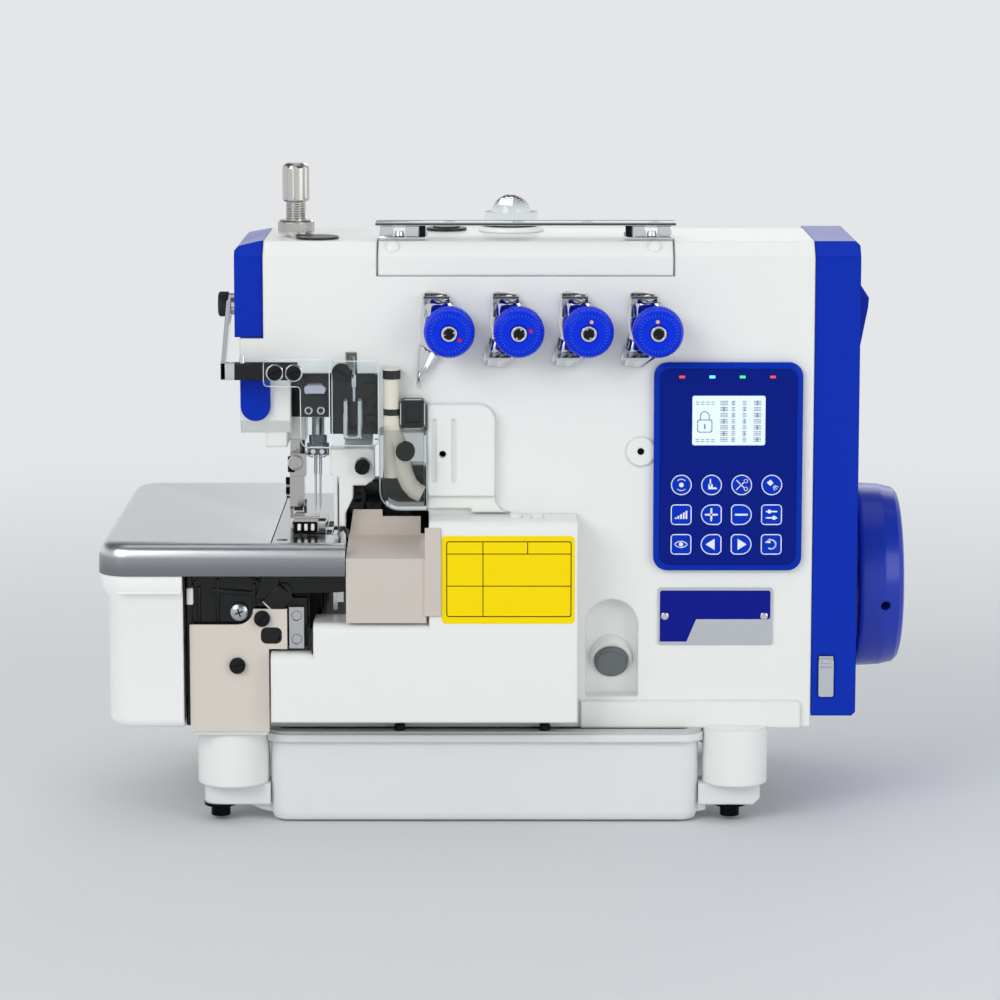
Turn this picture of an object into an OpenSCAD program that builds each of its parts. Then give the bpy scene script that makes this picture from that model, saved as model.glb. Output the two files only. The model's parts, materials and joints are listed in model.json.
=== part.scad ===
// Four-thread direct-drive overlock sewing machine head on its oil pan.
// Millimetres, +Z up, operator at -Y. The origin is under the middle of the machine.

/* [Overall] */
// Half of the overall width, from cloth plate edge to handwheel face
half_width = 205; // [200:1:210]
// Half of the overall depth, from cloth plate front to rear
half_depth = 100; // [98:1:104]
// Height of the painted head
head_top = 296; // [290:1:302]
// Height of the cloth plate's upper face
plate_top = 147; // [146:0.5:148]

/* [Frame] */
// Left end of the upper arm
head_left = -122; // [-123:0.5:-121]
// Right end of the casting
head_right = 155; // [154:0.5:155]
// Front face of the head
head_front = -72; // [-73:0.5:-72]
// Rear face of the head
head_back = 28; // [27:0.5:32]
// Left face of the column
column_left = -39.5; // [-40:0.5:-39]
// Underside of the upper arm
arm_bottom = 230; // [228:0.5:231]
// Rear face of the bed
bed_back = 88; // [86:0.5:90]
// Bottom face of the casting
frame_bottom = 48; // [47.5:0.5:48]

/* [Drive] */
// Depth of the main shaft's axis
shaft_y = -5; // [-6:0.5:-4]
// Height of the main shaft's axis
shaft_z = 115; // [114:0.5:116]
// Radius of the main shaft
shaft_r = 7; // [6:0.5:7.5]
// Throw of the needle drive eccentric
eccentric_throw = 7; // [6:0.5:7]
// Radius of the handwheel
handwheel_r = 48; // [44:1:49]

/* [Needle and presser] */
// Lean of the needle bar, with its top to the rear
needle_lean = 12; // [10:1:13]
// Middle of the needle pair, across the machine
needle_x = -96.4; // [-97:0.1:-96]
// Where the needles cross the plate, front to rear
needle_y = -50; // [-51:0.5:-49]
// Distance between the two needles
needle_gauge = 2.4; // [2:0.2:2.6]
// Presser bar place, across the machine
presser_x = -107; // [-107.5:0.1:-106.5]
// Presser bar place, front to rear
presser_y = -38; // [-38:0.5:-37]

/* [Thread tension] */
// Spacing of the four tension units
tension_pitch = 34.6; // [34:0.2:35]
// Place of the first tension unit
tension_x = -28.2; // [-29:0.1:-28]
// Height of the tension row
tension_z = 253; // [252:0.5:254]
// Radius of a tension knob
knob_r = 12.8; // [11:0.2:13]

/* [Control panel] */
// Width of the control panel
panel_w = 75; // [73:1:76]
// Height of the control panel
panel_h = 106; // [104:1:106]
// Spacing of the keys
key_pitch = 15.2; // [15:0.1:15.3]
// Radius of a round key
key_r = 5.4; // [5:0.1:5.8]

/* [Hidden] */
$fn = 64;

white = "#e9ebe8";
blue = "#0a2bb4";
beige = "#d6cdc6";
cast = "#d3d5d7";
steel = "#c9ccd0";
dark = "#222326";

// Clearances
gap = 0.3;         // between covers and what they close
seam = 0.9;        // open joint at the top cover's ends
fit = 0.05;        // running clearance of a shaft in its bore

// Frame sections
chamfer_y = 8;
chamfer_z = 7.3;
head_top_back = 9;
wall = 12;
mid_wall_x = 30;
room_back = 20;
room_top = head_top - 12;
looper_room_top = 148;
bed_left = -158;
bed_top = 125;
bed_rear_front = 12;
left_box_front = -90;
left_box_right = -120;
jaw_left = -64;
jaw_bottom = 200;
floor_top = 58;

// Needle drive: the rocker swings as far below level as it rests above it
rocker_y = 8;
rocker_z = 258;
rocker_r = 6;
rocker_lift = 32;
needle_lever = 23;
drive_lever = eccentric_throw / sin(rocker_lift);
rod_x0 = 60;
rod_x1 = 68;
eccentric_r = eccentric_throw + shaft_r + 0.6;
rod_top = [rocker_y - drive_lever * cos(rocker_lift), rocker_z + drive_lever * sin(rocker_lift)];

// Loopers: the lower one swings on its shaft, the upper one slides in a guide post
looper_shaft_x = -108;
looper_shaft_z = 84;
lower_looper_y = [-51.6, -49.4];
upper_looper_y = [-48.8, -46.4];
upper_tip = [-84.4, 149.4];
upper_slope = atan2(0.8, -0.6);

// Presser foot hinge
foot_pin_y = -33;
foot_pin_z = 156.5;
presser_r = 4;

// Feed bar section, across and up
feed_bar_x = [-100, -94];
feed_bar_z = [98, 104];

// Upper knife pivot
knife_pivot_y = -16;
knife_pivot_z = 214;

// Front cover
cover_front = -98.5;
cover_left = -118;
cover_right = 36;
cover_bottom = 56.3;
cover_step_x = -96.6;
cover_low_top = 91.3;
cover_mid_top = 106.8;
cover_top = 158.5;
cover_edge_r = 4.5;
cover_wall = 3;
cover_pivot_y = -91.5;
cover_pivot_z = 60;
cover_pin_r = 1.6;
ear_x = [-106, 22];
ear_w = 3;

// Cloth plate swing
swing_x = -161;
swing_y = 92;
swing_pin_r = 3;
swing_lug_r = 4.7;
notch_left = -118;

// Oil pan and its bolts
pan_lo = [-120, -80];
pan_hi = [98, 80];
pan_top = 46.5;
boss_r = [18.3, 16.6];
boss_x = [-139, 116.8];
bolt_x = [-146, 114.5];
bolt_y = 70;
boss_bottom = 20;
lug_bottom = 9;

// Screws of the bed's side plate
side_plate_screws = [[-122.5, 108.4], [-135.1, 84.3]];

// ---- Helpers ----

module block(lo, hi) translate(lo) cube(hi - lo);

// An outline drawn in (y, z), run along X
module along_x(x0, x1)
    translate([x0, 0, 0]) rotate([90, 0, 90]) linear_extrude(x1 - x0) children();

// An outline drawn in (x, z), run along Y
module along_y(y0, y1)
    translate([0, y1, 0]) rotate([90, 0, 0]) linear_extrude(y1 - y0) children();

// An outline drawn in (x, y), run along Z
module along_z(z0, z1)
    translate([0, 0, z0]) linear_extrude(z1 - z0) children();

module rod_x(x0, x1, y, z, r)
    translate([x0, y, z]) rotate([0, 90, 0]) cylinder(h = x1 - x0, r = r);

module rod_y(y0, y1, x, z, r)
    translate([x, y1, z]) rotate([90, 0, 0]) cylinder(h = y1 - y0, r = r);

module rod_z(z0, z1, x, y, r)
    translate([x, y, z0]) cylinder(h = z1 - z0, r = r);

function arc(c, r, a0, a1, n = 6) =
    [for (i = [0:n]) c + r * [cos(a0 + (a1 - a0) * i / n), sin(a0 + (a1 - a0) * i / n)]];

function round_rect(lo, hi, r, n = 6) = concat(
    arc([hi.x - r, hi.y - r], r, 0, 90, n),
    arc([lo.x + r, hi.y - r], r, 90, 180, n),
    arc([lo.x + r, lo.y + r], r, 180, 270, n),
    arc([hi.x - r, lo.y + r], r, 270, 360, n));

// A rectangle whose two left corners are round
function left_round(lo, hi, r, n = 8) = concat(
    [[hi.x, lo.y], [hi.x, hi.y]],
    arc([lo.x + r, hi.y - r], r, 90, 180, n),
    arc([lo.x + r, lo.y + r], r, 180, 270, n));

// A cylinder along the needle bar's leaning axis; t is the distance above the plate
module leaning(t0, t1, r, dx = 0)
    translate([needle_x + dx, needle_y, plate_top]) rotate([-needle_lean, 0, 0])
        translate([0, 0, t0]) cylinder(h = t1 - t0, r = r);

module leaning_frame()
    translate([needle_x, needle_y, plate_top]) rotate([-needle_lean, 0, 0]) children();

// A slotted cheese-head screw pointing along +Y, its head's face at y0
module cheese_screw(x, z, y0, head_r, head_h, shank_r, shank_len)
    difference() {
        union() {
            rod_y(y0, y0 + head_h, x, z, head_r);
            rod_y(y0 + head_h, y0 + head_h + shank_len, x, z, shank_r);
        }
        translate([x, y0, z]) rotate([0, 35, 0])
            cube([2.4 * head_r, 1.2, 1.1], center = true);
    }

// ---- Frame ----

module head_profile(front, back, bottom)
    polygon([
        [front, bottom], [front, head_top - chamfer_z], [front + chamfer_y, head_top],
        [head_top_back, head_top], [back, head_top - 9], [back, bottom]
    ]);

module frame_shell() {
    along_x(head_left, head_right) head_profile(head_front, head_back, arm_bottom);
    block([jaw_left, head_front, jaw_bottom], [column_left + 1, head_back, arm_bottom + 1]);
    along_x(column_left, head_right) polygon([
        [head_front, frame_bottom], [head_front, arm_bottom + 1], [head_back, arm_bottom + 1],
        [head_back, 152], [bed_back, bed_top], [bed_back, frame_bottom]
    ]);
    block([bed_left, bed_rear_front, frame_bottom], [column_left + 1, bed_back, bed_top]);
    block([bed_left, left_box_front, frame_bottom], [left_box_right, bed_rear_front + 1, 104]);
    block([left_box_right - wall, -24, frame_bottom],
        [left_box_right, bed_rear_front + 1, bed_top + 5]);
    block([left_box_right - 1, head_front, frame_bottom],
        [column_left + 1, bed_rear_front + 1, floor_top]);
}

// Hanging end of the arm that guides the presser bar and the needle bar
module nose() {
    along_x(-134, -108.6) polygon([
        [head_front, 206], [head_front, 247.5], [-24, 247.5], [-24, 199], [-66, 199]
    ]);
    block([-121.4, -66, 191.5], [-110.8, -26, 199.5]);
    block([-109, -60, 206], [-89, -16, arm_bottom + 1]);
    block([-112.9, -47, 192.4], [-102.2, -29, 206.5]);
}

// Bracket that carries the throat plate
module throat_bracket() {
    block([notch_left, -22, 132], [-88, 56, plate_top - 3]);
    block([notch_left, bed_rear_front, bed_top - 1], [-88, 56, 133]);
}

// Raised shield beside the needle space, with its two shallow flutes
module column_shield() {
    flute_x = [-36.1, -26.3];
    difference() {
        union() {
            along_y(head_front - 5, head_front + 1) polygon(concat(
                [[column_left, 168], [-5.5, 168]], arc([-13.5, 206.7], 8, 0, 90),
                [[column_left, 214.7]]));
            along_y(head_front - 3, head_front + 1) polygon(concat(
                [[column_left, 159.6], [2, 159.6]], arc([2, 167.1], 7.5, 270, 180, 5),
                [[-5.5, 170], [column_left, 170]]));
        }
        for (x = flute_x)
            block([x - 0.9, head_front - 6, 175.3], [x + 0.9, head_front - 4.2, 207.2]);
        // finger notch over the front cover
        block([column_left - 1, head_front - 6, 158], [-17.5, head_front, 161.5]);
    }
}

module mounting_bosses()
    for (i = [0, 1], side = [-1, 1])
        rod_z(boss_bottom, frame_bottom + 1, boss_x[i], side * bolt_y, boss_r[i]);

module frame_front_details() {
    column_shield();
    rod_y(head_front - 1, head_front + 1, 68, 190.3, 7.5);
    along_y(head_front - 2, head_front + 1) polygon([
        [38, frame_bottom], [150, frame_bottom], [150, 60.5], [148.5, 62], [38, 62]]);
    // solid behind the button's pocket
    block([38, head_front + 8, 60], [70, -42, 118]);
    // ears for the front cover's hinge pins
    for (x = ear_x) {
        block([x, cover_pivot_y, 57], [x + ear_w, head_front + 2, 63]);
        rod_x(x, x + ear_w, cover_pivot_y, cover_pivot_z, 3);
    }
    // knuckle for the cloth plate's hinge pin
    block([bed_left - 3, 79, 66], [bed_left + 1, bed_back, 118]);
    block([swing_x - 3, 82, 66], [bed_left + 1, swing_y, 118]);
    rod_z(66, 118, swing_x, swing_y, 6);
    // guide post of the upper looper
    along_y(-54, -41) polygon([
        [-76, floor_top - 1], [-62, floor_top - 1], [-61.4, 110.4], [-53.4, 116.4],
        [-64.8, 131.6], [-72.8, 125.6]]);
}

// A cylinder along the upper looper's sloping path; s is the distance above its tip
module sloping(s0, s1, r, y)
    translate([upper_tip.x, y, upper_tip.y]) rotate([0, 90 - upper_slope, 0])
        translate([0, 0, s0]) cylinder(h = s1 - s0, r = r);

module frame_rooms() {
    // looper room, open to the front
    block([left_box_right, head_front - 1, floor_top], [column_left + 0.5, bed_rear_front, 200]);
    block([column_left, head_front - 1, 60], [mid_wall_x, bed_rear_front, looper_room_top]);
    // drive room
    block([mid_wall_x + wall, -60, 60], [head_right - wall, room_back, room_top]);
    // arm rooms, with a web between them
    block([-112, -60, 242], [-36, room_back, room_top]);
    block([-28, -60, 160], [mid_wall_x + wall + 1, room_back, room_top]);
    // opening under the top cover, and its rebate
    block([-55, -56, room_top - 1], [75, -26, head_top + 1]);
    along_x(-65, 84.7) polygon([
        [head_front - 1, 279], [head_front + cover_wall, 279],
        [head_front + cover_wall, 287.3], [-62.8, head_top - cover_wall],
        [-20, head_top - cover_wall], [-20, head_top + 1], [head_front - 1, head_top + 1]
    ]);
    // rear window
    block([50, room_back - 1, 160], [135, head_back + 1, 275]);
    // casting core of the bed, open to the oil pan
    block([-112, 26, frame_bottom - 1], [90, 76, 112]);
    for (x = [-80, 0, 65])
        rod_z(frame_bottom - 1, 61, x, -40, 8);
    // room for the drive eccentric's big end
    block([rod_x0 - 2, room_back - 1, 88], [rod_x1 + 2, room_back + 4, 148]);
    // slot of the thread take-up in the arm's front
    block([-80.6, head_front - 1, arm_bottom - 1], [-75, -59, 240.5]);
    // slot that the needle bar's link moves in
    block([-99.6, -32, 234], [-93.2, -16, 243]);
    // wiring hole to the motor side
    rod_x(head_right - wall - 1, head_right + 1, -20, 240, 12);
    // window behind the control panel
    block([84, head_front - 1, 150], [138, -59, 222]);
}

// Slanted pocket round the stitch length button
module button_pocket() {
    along_y(head_front - 3, head_front + 8) polygon(concat(
        [[40.5, 64], [67, 64]], arc([53.75, 101], 13.25, 0, 180, 10)));
}

module frame_bores() {
    for (x = [left_box_right - wall, mid_wall_x, head_right - wall])
        rod_x(x - 1, x + wall + 1, shaft_y, shaft_z, 14 + fit);
    rod_x(head_left - 1, -111, rocker_y, rocker_z, rocker_r + fit);
    rod_x(-37, -27, rocker_y, rocker_z, rocker_r + fit);
    rod_z(185, head_top + 1, presser_x, presser_y, presser_r + fit);
    rod_z(head_top - 16, head_top + 1, presser_x, presser_y, 5 + fit);
    leaning(30, 140, 3.3 + fit);
    leaning(90.5, 142, 5.4);
    rod_x(jaw_left - 1, column_left + 12, knife_pivot_y, knife_pivot_z, 5 + fit);
    rod_x(cover_left, cover_right, cover_pivot_y, cover_pivot_z, cover_pin_r + 0.02);
    rod_z(60, 119, swing_x, swing_y, swing_pin_r + 0.02);
    rod_y(bed_rear_front - 1, 27, looper_shaft_x, looper_shaft_z, 5 + fit);
    sloping(-60, -10, 2.5 + fit, -47.6);
    // accessory screw holes in the front
    rod_y(head_front - 6, head_front + 10, -31.9, 189.5, 1.75);
    rod_y(head_front - 6, head_front + 10, 68, 190.3, 1.75);
    for (i = [0:3])
        rod_y(head_front - 1, -59, tension_x + i * tension_pitch, tension_z, 3);
    for (i = [0, 1], side = [-1, 1])
        rod_z(boss_bottom - 1, 42, bolt_x[i], side * bolt_y, 4 + fit);
    for (x = [46, 139], z = [158, 279])
        rod_y(head_back - 8, head_back + 1, x, z, 2 + fit);
    // screw of the bed's side plate
    rod_y(left_box_front - 1, left_box_front + 8, side_plate_screws[1].x, side_plate_screws[1].y,
        2 + fit);
    // guide slot of the feed bar
    block([feed_bar_x[0] - fit, bed_rear_front - 1, feed_bar_z[0] - fit],
        [feed_bar_x[1] + fit, 27, feed_bar_z[1] + fit]);
}

module machine_frame() color(white)
    difference() {
        union() {
            difference() {
                union() {
                    difference() {
                        frame_shell();
                        frame_rooms();
                    }
                    frame_front_details();
                }
                button_pocket();
            }
            nose();
            throat_bracket();
            mounting_bosses();
            button_boss();
        }
        frame_bores();
        button_bore();
    }

// ---- Stitch length button: it points forwards and down from a boss in the pocket ----

button_r = 8.3;
button_pos = [53.75, -66, 81.2];
button_tilt = 25;

module button_frame()
    translate(button_pos) rotate([90 + button_tilt, 0, 0]) children();

module button_boss()
    intersection() {
        button_frame() translate([0, 0, -20]) cylinder(h = 19.4, r = button_r + 2.6);
        block([30, head_front - 1, 60], [80, -50, 120]);
    }

module button_bore()
    button_frame() {
        translate([0, 0, -40]) cylinder(h = 60, r = button_r - 2.5 + fit);
        translate([0, 0, -7.5]) cylinder(h = 20, r = button_r + gap);
    }

module stitch_length_button() color("#7d858c")
    button_frame() {
        translate([0, 0, -2.4]) cylinder(h = 4.4, r = button_r);
        translate([0, 0, 2]) cylinder(h = 0.6, r = button_r - 0.8);
        translate([0, 0, -24]) cylinder(h = 21.6, r = button_r - 2.5);
    }

// ---- Base ----

module pan_outline(grow = 0)
    polygon(round_rect(pan_lo - [grow, grow], pan_hi + [grow, grow], 9 + grow));

module oil_pan() color(cast)
    difference() {
        union() {
            hull() {
                along_z(0, 0.1) pan_outline(-5);
                along_z(1.5, 1.6) pan_outline(-1.5);
                along_z(5, 5.1) pan_outline();
            }
            along_z(5, pan_top) pan_outline();
            difference() {
                along_z(42.4, pan_top) pan_outline(3);
                for (i = [0, 1], side = [-1, 1])
                    rod_z(42, pan_top + 1, boss_x[i], side * bolt_y, boss_r[i] + gap);
            }
            for (i = [0, 1], side = [-1, 1])
                pan_lug(bolt_x[i], side * bolt_y, i == 0 ? pan_lo.x : pan_hi.x);
        }
        along_z(4, pan_top + 1) pan_outline(-4);
        for (i = [0, 1], side = [-1, 1]) {
            rod_z(lug_bottom - 1, boss_bottom + 1, bolt_x[i], side * bolt_y, 4.3);
            rod_z(boss_bottom, 42.4, boss_x[i], side * bolt_y, boss_r[i] + gap);
        }
    }

// Lug that the mounting bolt clamps under a boss of the frame
module pan_lug(x, y, root) {
    side = root < x ? 1 : -1;
    rod_z(lug_bottom, boss_bottom, x, y, 8);
    block([min(x, root), y - 8, lug_bottom], [max(x, root), y + 8, boss_bottom]);
    // the right lugs run on to the end of their boss
    if (side == 1)
        along_y(y - 8, y + 8) polygon([
            [x, lug_bottom], [x + 11.5, lug_bottom], [x + 15, lug_bottom + 3.5],
            [x + 15, boss_bottom], [x, boss_bottom]]);
    along_y(y - 3, y + 3) polygon([
        [root - side, 4], [root - side, lug_bottom + 1], [x - side * 12, lug_bottom + 1],
        [x - side * 12, lug_bottom], [root + side * 4, 5]]);
}

module pan_gasket() color(dark)
    difference() {
        along_z(pan_top, frame_bottom) pan_outline(2);
        along_z(pan_top - 1, frame_bottom + 1) pan_outline(-4);
        for (i = [0, 1], side = [-1, 1])
            rod_z(pan_top - 1, frame_bottom + 1, boss_x[i], side * bolt_y, boss_r[i] + gap);
    }

module mounting_bolts() color(dark)
    for (i = [0, 1], side = [-1, 1])
        translate([bolt_x[i], side * bolt_y, 0]) {
            translate([0, 0, 2]) cylinder(h = 5.5, r = 5);
            translate([0, 0, 7.5]) cylinder(h = lug_bottom - 7.5, r = 8.4);
            translate([0, 0, lug_bottom]) cylinder(h = 30, r = 4);
        }

// ---- Covers of the head ----

module top_cover() color(white)
    along_x(-65 + seam, 84.7 - seam) polygon([
        [head_front, 279 + gap], [head_front, head_top - chamfer_z],
        [head_front + chamfer_y, head_top], [-20 - gap, head_top],
        [-20 - gap, head_top - cover_wall], [-62.8, head_top - cover_wall],
        [head_front + cover_wall, 287.3], [head_front + cover_wall, 279 + gap]
    ]);

module rear_cover() color(white)
    difference() {
        along_y(head_back, head_back + 3)
            polygon(round_rect([41, 153], [144, 284], 6));
        for (x = [46, 139], z = [158, 279])
            rod_y(head_back - 1, head_back + 4, x, z, 2.3);
        for (z = [190:8:246])
            block([68, head_back - 1, z], [117, head_back + 4, z + 3]);
    }

module cover_screws() color(steel) {
    for (x = [46, 139], z = [158, 279])
        mirror([0, 1, 0]) cheese_screw(x, z, -head_back - 5, 4, 2, 2, 8);
    for (p = side_plate_screws)
        cheese_screw(p.x, p.y, left_box_front - 3.4, 4, 1.9, 2, 8);
    cheese_screw(-134.2, 111.1, -89.6, 4.4, 2.6, 2, 7);
}

// ---- Front cover, chip guard and bed plate ----

module cover_shell_part(x0, x1, top, back) {
    r = cover_edge_r;
    // the outline leans in at the foot, so that the cover can tip forwards
    difference() {
        along_x(x0, x1) polygon(concat(
            [[back - 3, cover_bottom], [cover_front, cover_bottom]],
            arc([cover_front + r, top - r], r, 180, 90, 5),
            [[back, top], [back, cover_bottom + 8]]));
        along_x(x0 + cover_wall, x1 - cover_wall) polygon(concat(
            [[back + 1, cover_bottom - 1], [cover_front + cover_wall, cover_bottom - 1]],
            arc([cover_front + r, top - r], r - cover_wall, 180, 90, 3),
            [[back + 1, top - cover_wall]]));
    }
}

module front_cover() color(white)
    difference() {
        union() {
            difference() {
                union() {
                    cover_shell_part(column_left + 1, cover_right, cover_top,
                        head_front - gap);
                    cover_shell_part(cover_step_x, column_left + 1 + cover_wall,
                        cover_mid_top, head_front - gap);
                    cover_shell_part(cover_left, cover_step_x + cover_wall,
                        cover_low_top, -89);
                }
                // the three boxes share one hollow
                block([cover_step_x - 1, cover_front + cover_wall, cover_bottom - 1],
                    [column_left + 8, head_front, cover_mid_top - cover_wall]);
                block([cover_left + cover_wall, cover_front + cover_wall, cover_bottom - 1],
                    [cover_step_x + 8, head_front, cover_low_top - cover_wall]);
            }
            // two stops on the top face
            for (x = [1.7, 12.5])
                along_y(-86, -80) polygon([
                    [x, cover_top - 1], [x + 6.3, cover_top - 1], [x + 6.3, cover_top + 0.8],
                    [x + 5.3, cover_top + 1.7], [x + 1, cover_top + 1.7], [x, cover_top + 0.8]]);
            for (x = [ear_x[0] + ear_w + gap, ear_x[1] - 9 - gap]) {
                rod_x(x, x + 9, cover_pivot_y, cover_pivot_z, 3);
                block([x, cover_front + 1, 57.5], [x + 9, cover_pivot_y, 62.5]);
            }
        }
        rod_x(cover_left + 5, cover_right - 5, cover_pivot_y, cover_pivot_z, cover_pin_r + 0.06);
    }

// Pins of the front cover (two) and of the cloth plate
module hinge_pins() color(steel) {
    rod_x(ear_x[0], ear_x[0] + 12, cover_pivot_y, cover_pivot_z, cover_pin_r);
    rod_x(ear_x[1] - 9, ear_x[1] + ear_w, cover_pivot_y, cover_pivot_z, cover_pin_r);
    rod_z(60, 129, swing_x, swing_y, swing_pin_r);
}

guard_lip = 1.2;

module chip_guard() color(beige)
    difference() {
        union() {
            // upright front, shelf and back wall
            along_x(-80, -39.8) polygon([
                [-99.2, 107.4], [-99.2, 140.2], [-62.6, 145.8], [-62.6, 158.8], [-61.4, 158.8],
                [-61.4, 144.6], [-98, 139.1], [-98, 107.4]]);
            // strip over the front cover
            block([-40.5, cover_front - guard_lip, 111], [-32.5, cover_front, 155.7]);
            block([-41, cover_front - guard_lip, 111], [-39.8, -97, 139.4]);
        }
        // stepped top and slanting end of the back wall
        block([-62.8, -70, 155.3], [-39, -50, 160]);
        block([-43.4, -70, 146.4], [-39, -50, 160]);
        along_y(-70, -50) polygon([[-81, 146], [-79.6, 146], [-77.5, 160], [-81, 160]]);
    }

module bed_side_plate() color(beige) {
    block([-119.9, left_box_front - 1.5, 50.1], [-119.3, -78, 92.6]);
    difference() {
        along_y(left_box_front - 1.5, left_box_front) polygon(concat(
            [[-159.1, 50.1], [-119.3, 50.1], [-119.3, 92.6], [-110, 92.6], [-110, 113], [-127, 113]],
            arc([-135, 113], 8, 0, -90, 6),
            [[-159.1, 105]]));
        for (p = side_plate_screws)
            rod_y(left_box_front - 2, left_box_front + 1, p.x, p.y, 2.2);
        along_y(left_box_front - 2, left_box_front + 1)
            polygon(round_rect([-123.3, 95.2], [-112.7, 103.7], 3));
    }
}

// ---- Cloth plate and the box cover under it ----

plate_lo = [-half_width, -half_depth];
plate_hi = [-80.5, half_depth];
skirt_bottom = 131.3;
// Bull-nosed edge: height above the skirt's foot and how far it draws in
plate_edge = [[0, 0], [9, 0.2], [12.6, 1.1], [14.7, 2.6], [15.7, 5]];

module plate_outline(inset)
    polygon(left_round(plate_lo + [inset, inset], plate_hi - [0, inset], 16 - inset));

module cloth_plate() color(steel) {
    difference() {
        hull()
            for (step = plate_edge)
                along_z(skirt_bottom + step[0] - 0.01, plate_top - 15.7 + step[0])
                    plate_outline(step[1]);
        along_z(skirt_bottom - 1, plate_top - 3)
            polygon(left_round(plate_lo + [3, 3], [plate_hi.x + 1, plate_hi.y - 3], 13));
        // notch round the throat plate
        block([notch_left, -92.7, skirt_bottom - 1], [-80, half_depth, plate_top + 1]);
    }
    // hinge lug under the rear skirt
    difference() {
        union() {
            rod_z(118.4, plate_top - 2, swing_x, swing_y, swing_lug_r);
            block([swing_x - 3.6, swing_y, 118.4], [swing_x + 3.6, plate_hi.y - 1, plate_top - 2]);
        }
        rod_z(117, 130, swing_x, swing_y, swing_pin_r + fit);
    }
}

side_box_lo = [-198, -97];
side_box_hi = [-162, 96];
side_box_bottom = 52.3;

module side_cover() color(white)
    difference() {
        union() {
            side_cover_shell();
            // foot hinge boss on the floor
            rod_z(side_box_bottom, 65.7, swing_x, swing_y, swing_lug_r);
        }
        rod_z(side_box_bottom + 4, 67, swing_x, swing_y, swing_pin_r + fit);
    }

module side_cover_shell()
    difference() {
        union() {
            hull() {
                along_z(side_box_bottom, side_box_bottom + 0.1)
                    polygon(left_round(side_box_lo + [5, 5], side_box_hi - [0, 5], 8));
                along_z(side_box_bottom + 1.5, side_box_bottom + 1.6)
                    polygon(left_round(side_box_lo + [1.6, 1.6], side_box_hi - [0, 1.6], 10));
                along_z(side_box_bottom + 5, 120.5)
                    polygon(left_round(side_box_lo, side_box_hi, 11));
            }
            hull() {
                along_z(119.5, 120.5) polygon(left_round(side_box_lo, side_box_hi, 11));
                along_z(124, skirt_bottom)
                    polygon(left_round([-204, -99.2], [side_box_hi.x, 99.2], 15));
            }
        }
        along_z(side_box_bottom + 3, skirt_bottom + 1)
            polygon(left_round(side_box_lo + [3, 3], side_box_hi + [1, -3], 8));
        along_z(123.2, skirt_bottom + 1)
            polygon(left_round([-201, -96.2], [-158, 96.2], 12));
        // room round the hinge knuckle
        block([-171, 76, 65.7], [-158, half_depth, skirt_bottom + 1]);
    }

// ---- Stitch parts ----

feed_slots = [-106, -102.4, -90];
// Front to rear stretches of the two feed dogs, before and behind the needles
feed_rows = [[-66, -57.4], [-43.4, -32]];
tooth_pitch = 2.4;

module throat_plate() color(steel)
    difference() {
        block([notch_left + 0.6, -92.4, plate_top - 3], [-84, 60, plate_top]);
        for (x = feed_slots, y = feed_rows)
            block([x - 1.3, y[0] - 3, plate_top - 4], [x + 1.3, y[1] + 3, plate_top + 1]);
        block([-99.8, needle_y - 2.6, plate_top - 4], [-92.8, needle_y + 2, plate_top + 1]);
        block([-88.2, -70, plate_top - 4], [-83, -43, plate_top + 1]);
        for (y = [-84, 50])
            translate([-112.5, y, plate_top - 1.6]) cylinder(h = 2, r1 = 1.6, r2 = 3.4);
    }

module feed_dog() color(steel)
    for (row = feed_rows) {
        block([feed_slots[0] - 1.05, row[0], 128], [feed_slots[2] + 1.05, row[1], 133]);
        for (x = feed_slots)
            along_x(x - 1.05, x + 1.05) polygon(concat(
                [[row[0], 132], [row[0], 144.8]],
                [for (y = [row[0] + 0.5:tooth_pitch:row[1] - 2], k = [0, 1])
                    [y + 1.7 * k, k == 0 ? 145.3 : 146.7]],
                [[row[1], 144.8], [row[1], 132]]));
    }

module feed_bar() color(dark) {
    block([feed_bar_x[0], -64, feed_bar_z[0]], [feed_bar_x[1], 24, feed_bar_z[1]]);
    for (row = feed_rows) {
        y = (row[0] + row[1]) / 2;
        block([feed_bar_x[0], y - 3, 103], [feed_bar_x[1], y + 3, 128]);
    }
}

// Cast carrier in front of the looper room: it holds the throat plate and the lower knife
module plate_bracket() color(dark)
    difference() {
        union() {
            // foot on the frame's left box
            block([-157.5, -87, 104], [-124, -72, 108]);
            along_y(-87, -81) polygon([
                [-157.5, 104], [-157.5, 126], [-152, 131], [-132, 130], [-122, 125], [-112, 118],
                [-100, 118], [-100, 104]]);
            // rail under the throat plate's front
            along_y(-90, -72) polygon([[-126, 118], [-118, plate_top - 3], [-84, plate_top - 3],
                [-84, 139], [-111, 139], [-116, 118]]);
            // rounded carrier of the lower knife
            along_y(-88, -78) polygon(concat(
                [[-116, 120], [-118, 130]], arc([-83, 125.5], 4.5, 90, -90, 8)));
            // arm behind the knife holder
            block([-112, -82, 92.4], [-100, -77, 119]);
        }
        rod_y(-88, -80, -134.2, 111.1, 2 + fit);
        rod_y(-88, -80, side_plate_screws[0].x, side_plate_screws[0].y, 2 + fit);
    }

module lower_knife() color(steel) {
    difference() {
        block([-87.9, -68, 108], [-85.6, -54, plate_top - 0.2]);
        along_x(-89, -85) polygon([[-69, 130], [-62, 130], [-69, 142]]);
    }
    // clamp beside the blade, reaching forwards to its carrier
    block([-85.6, -78, 114], [-82, -58, 128]);
    // screwed holder in front
    difference() {
        block([-109, -91, 92.8], [-101.5, -87, 114]);
        for (z = [97.5, 109.5])
            rod_y(-92, -89, -105.2, z, 2.6);
    }
    for (z = [97.5, 109.5])
        rod_y(-90.6, -89, -105.2, z, 2.3);
}

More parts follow.
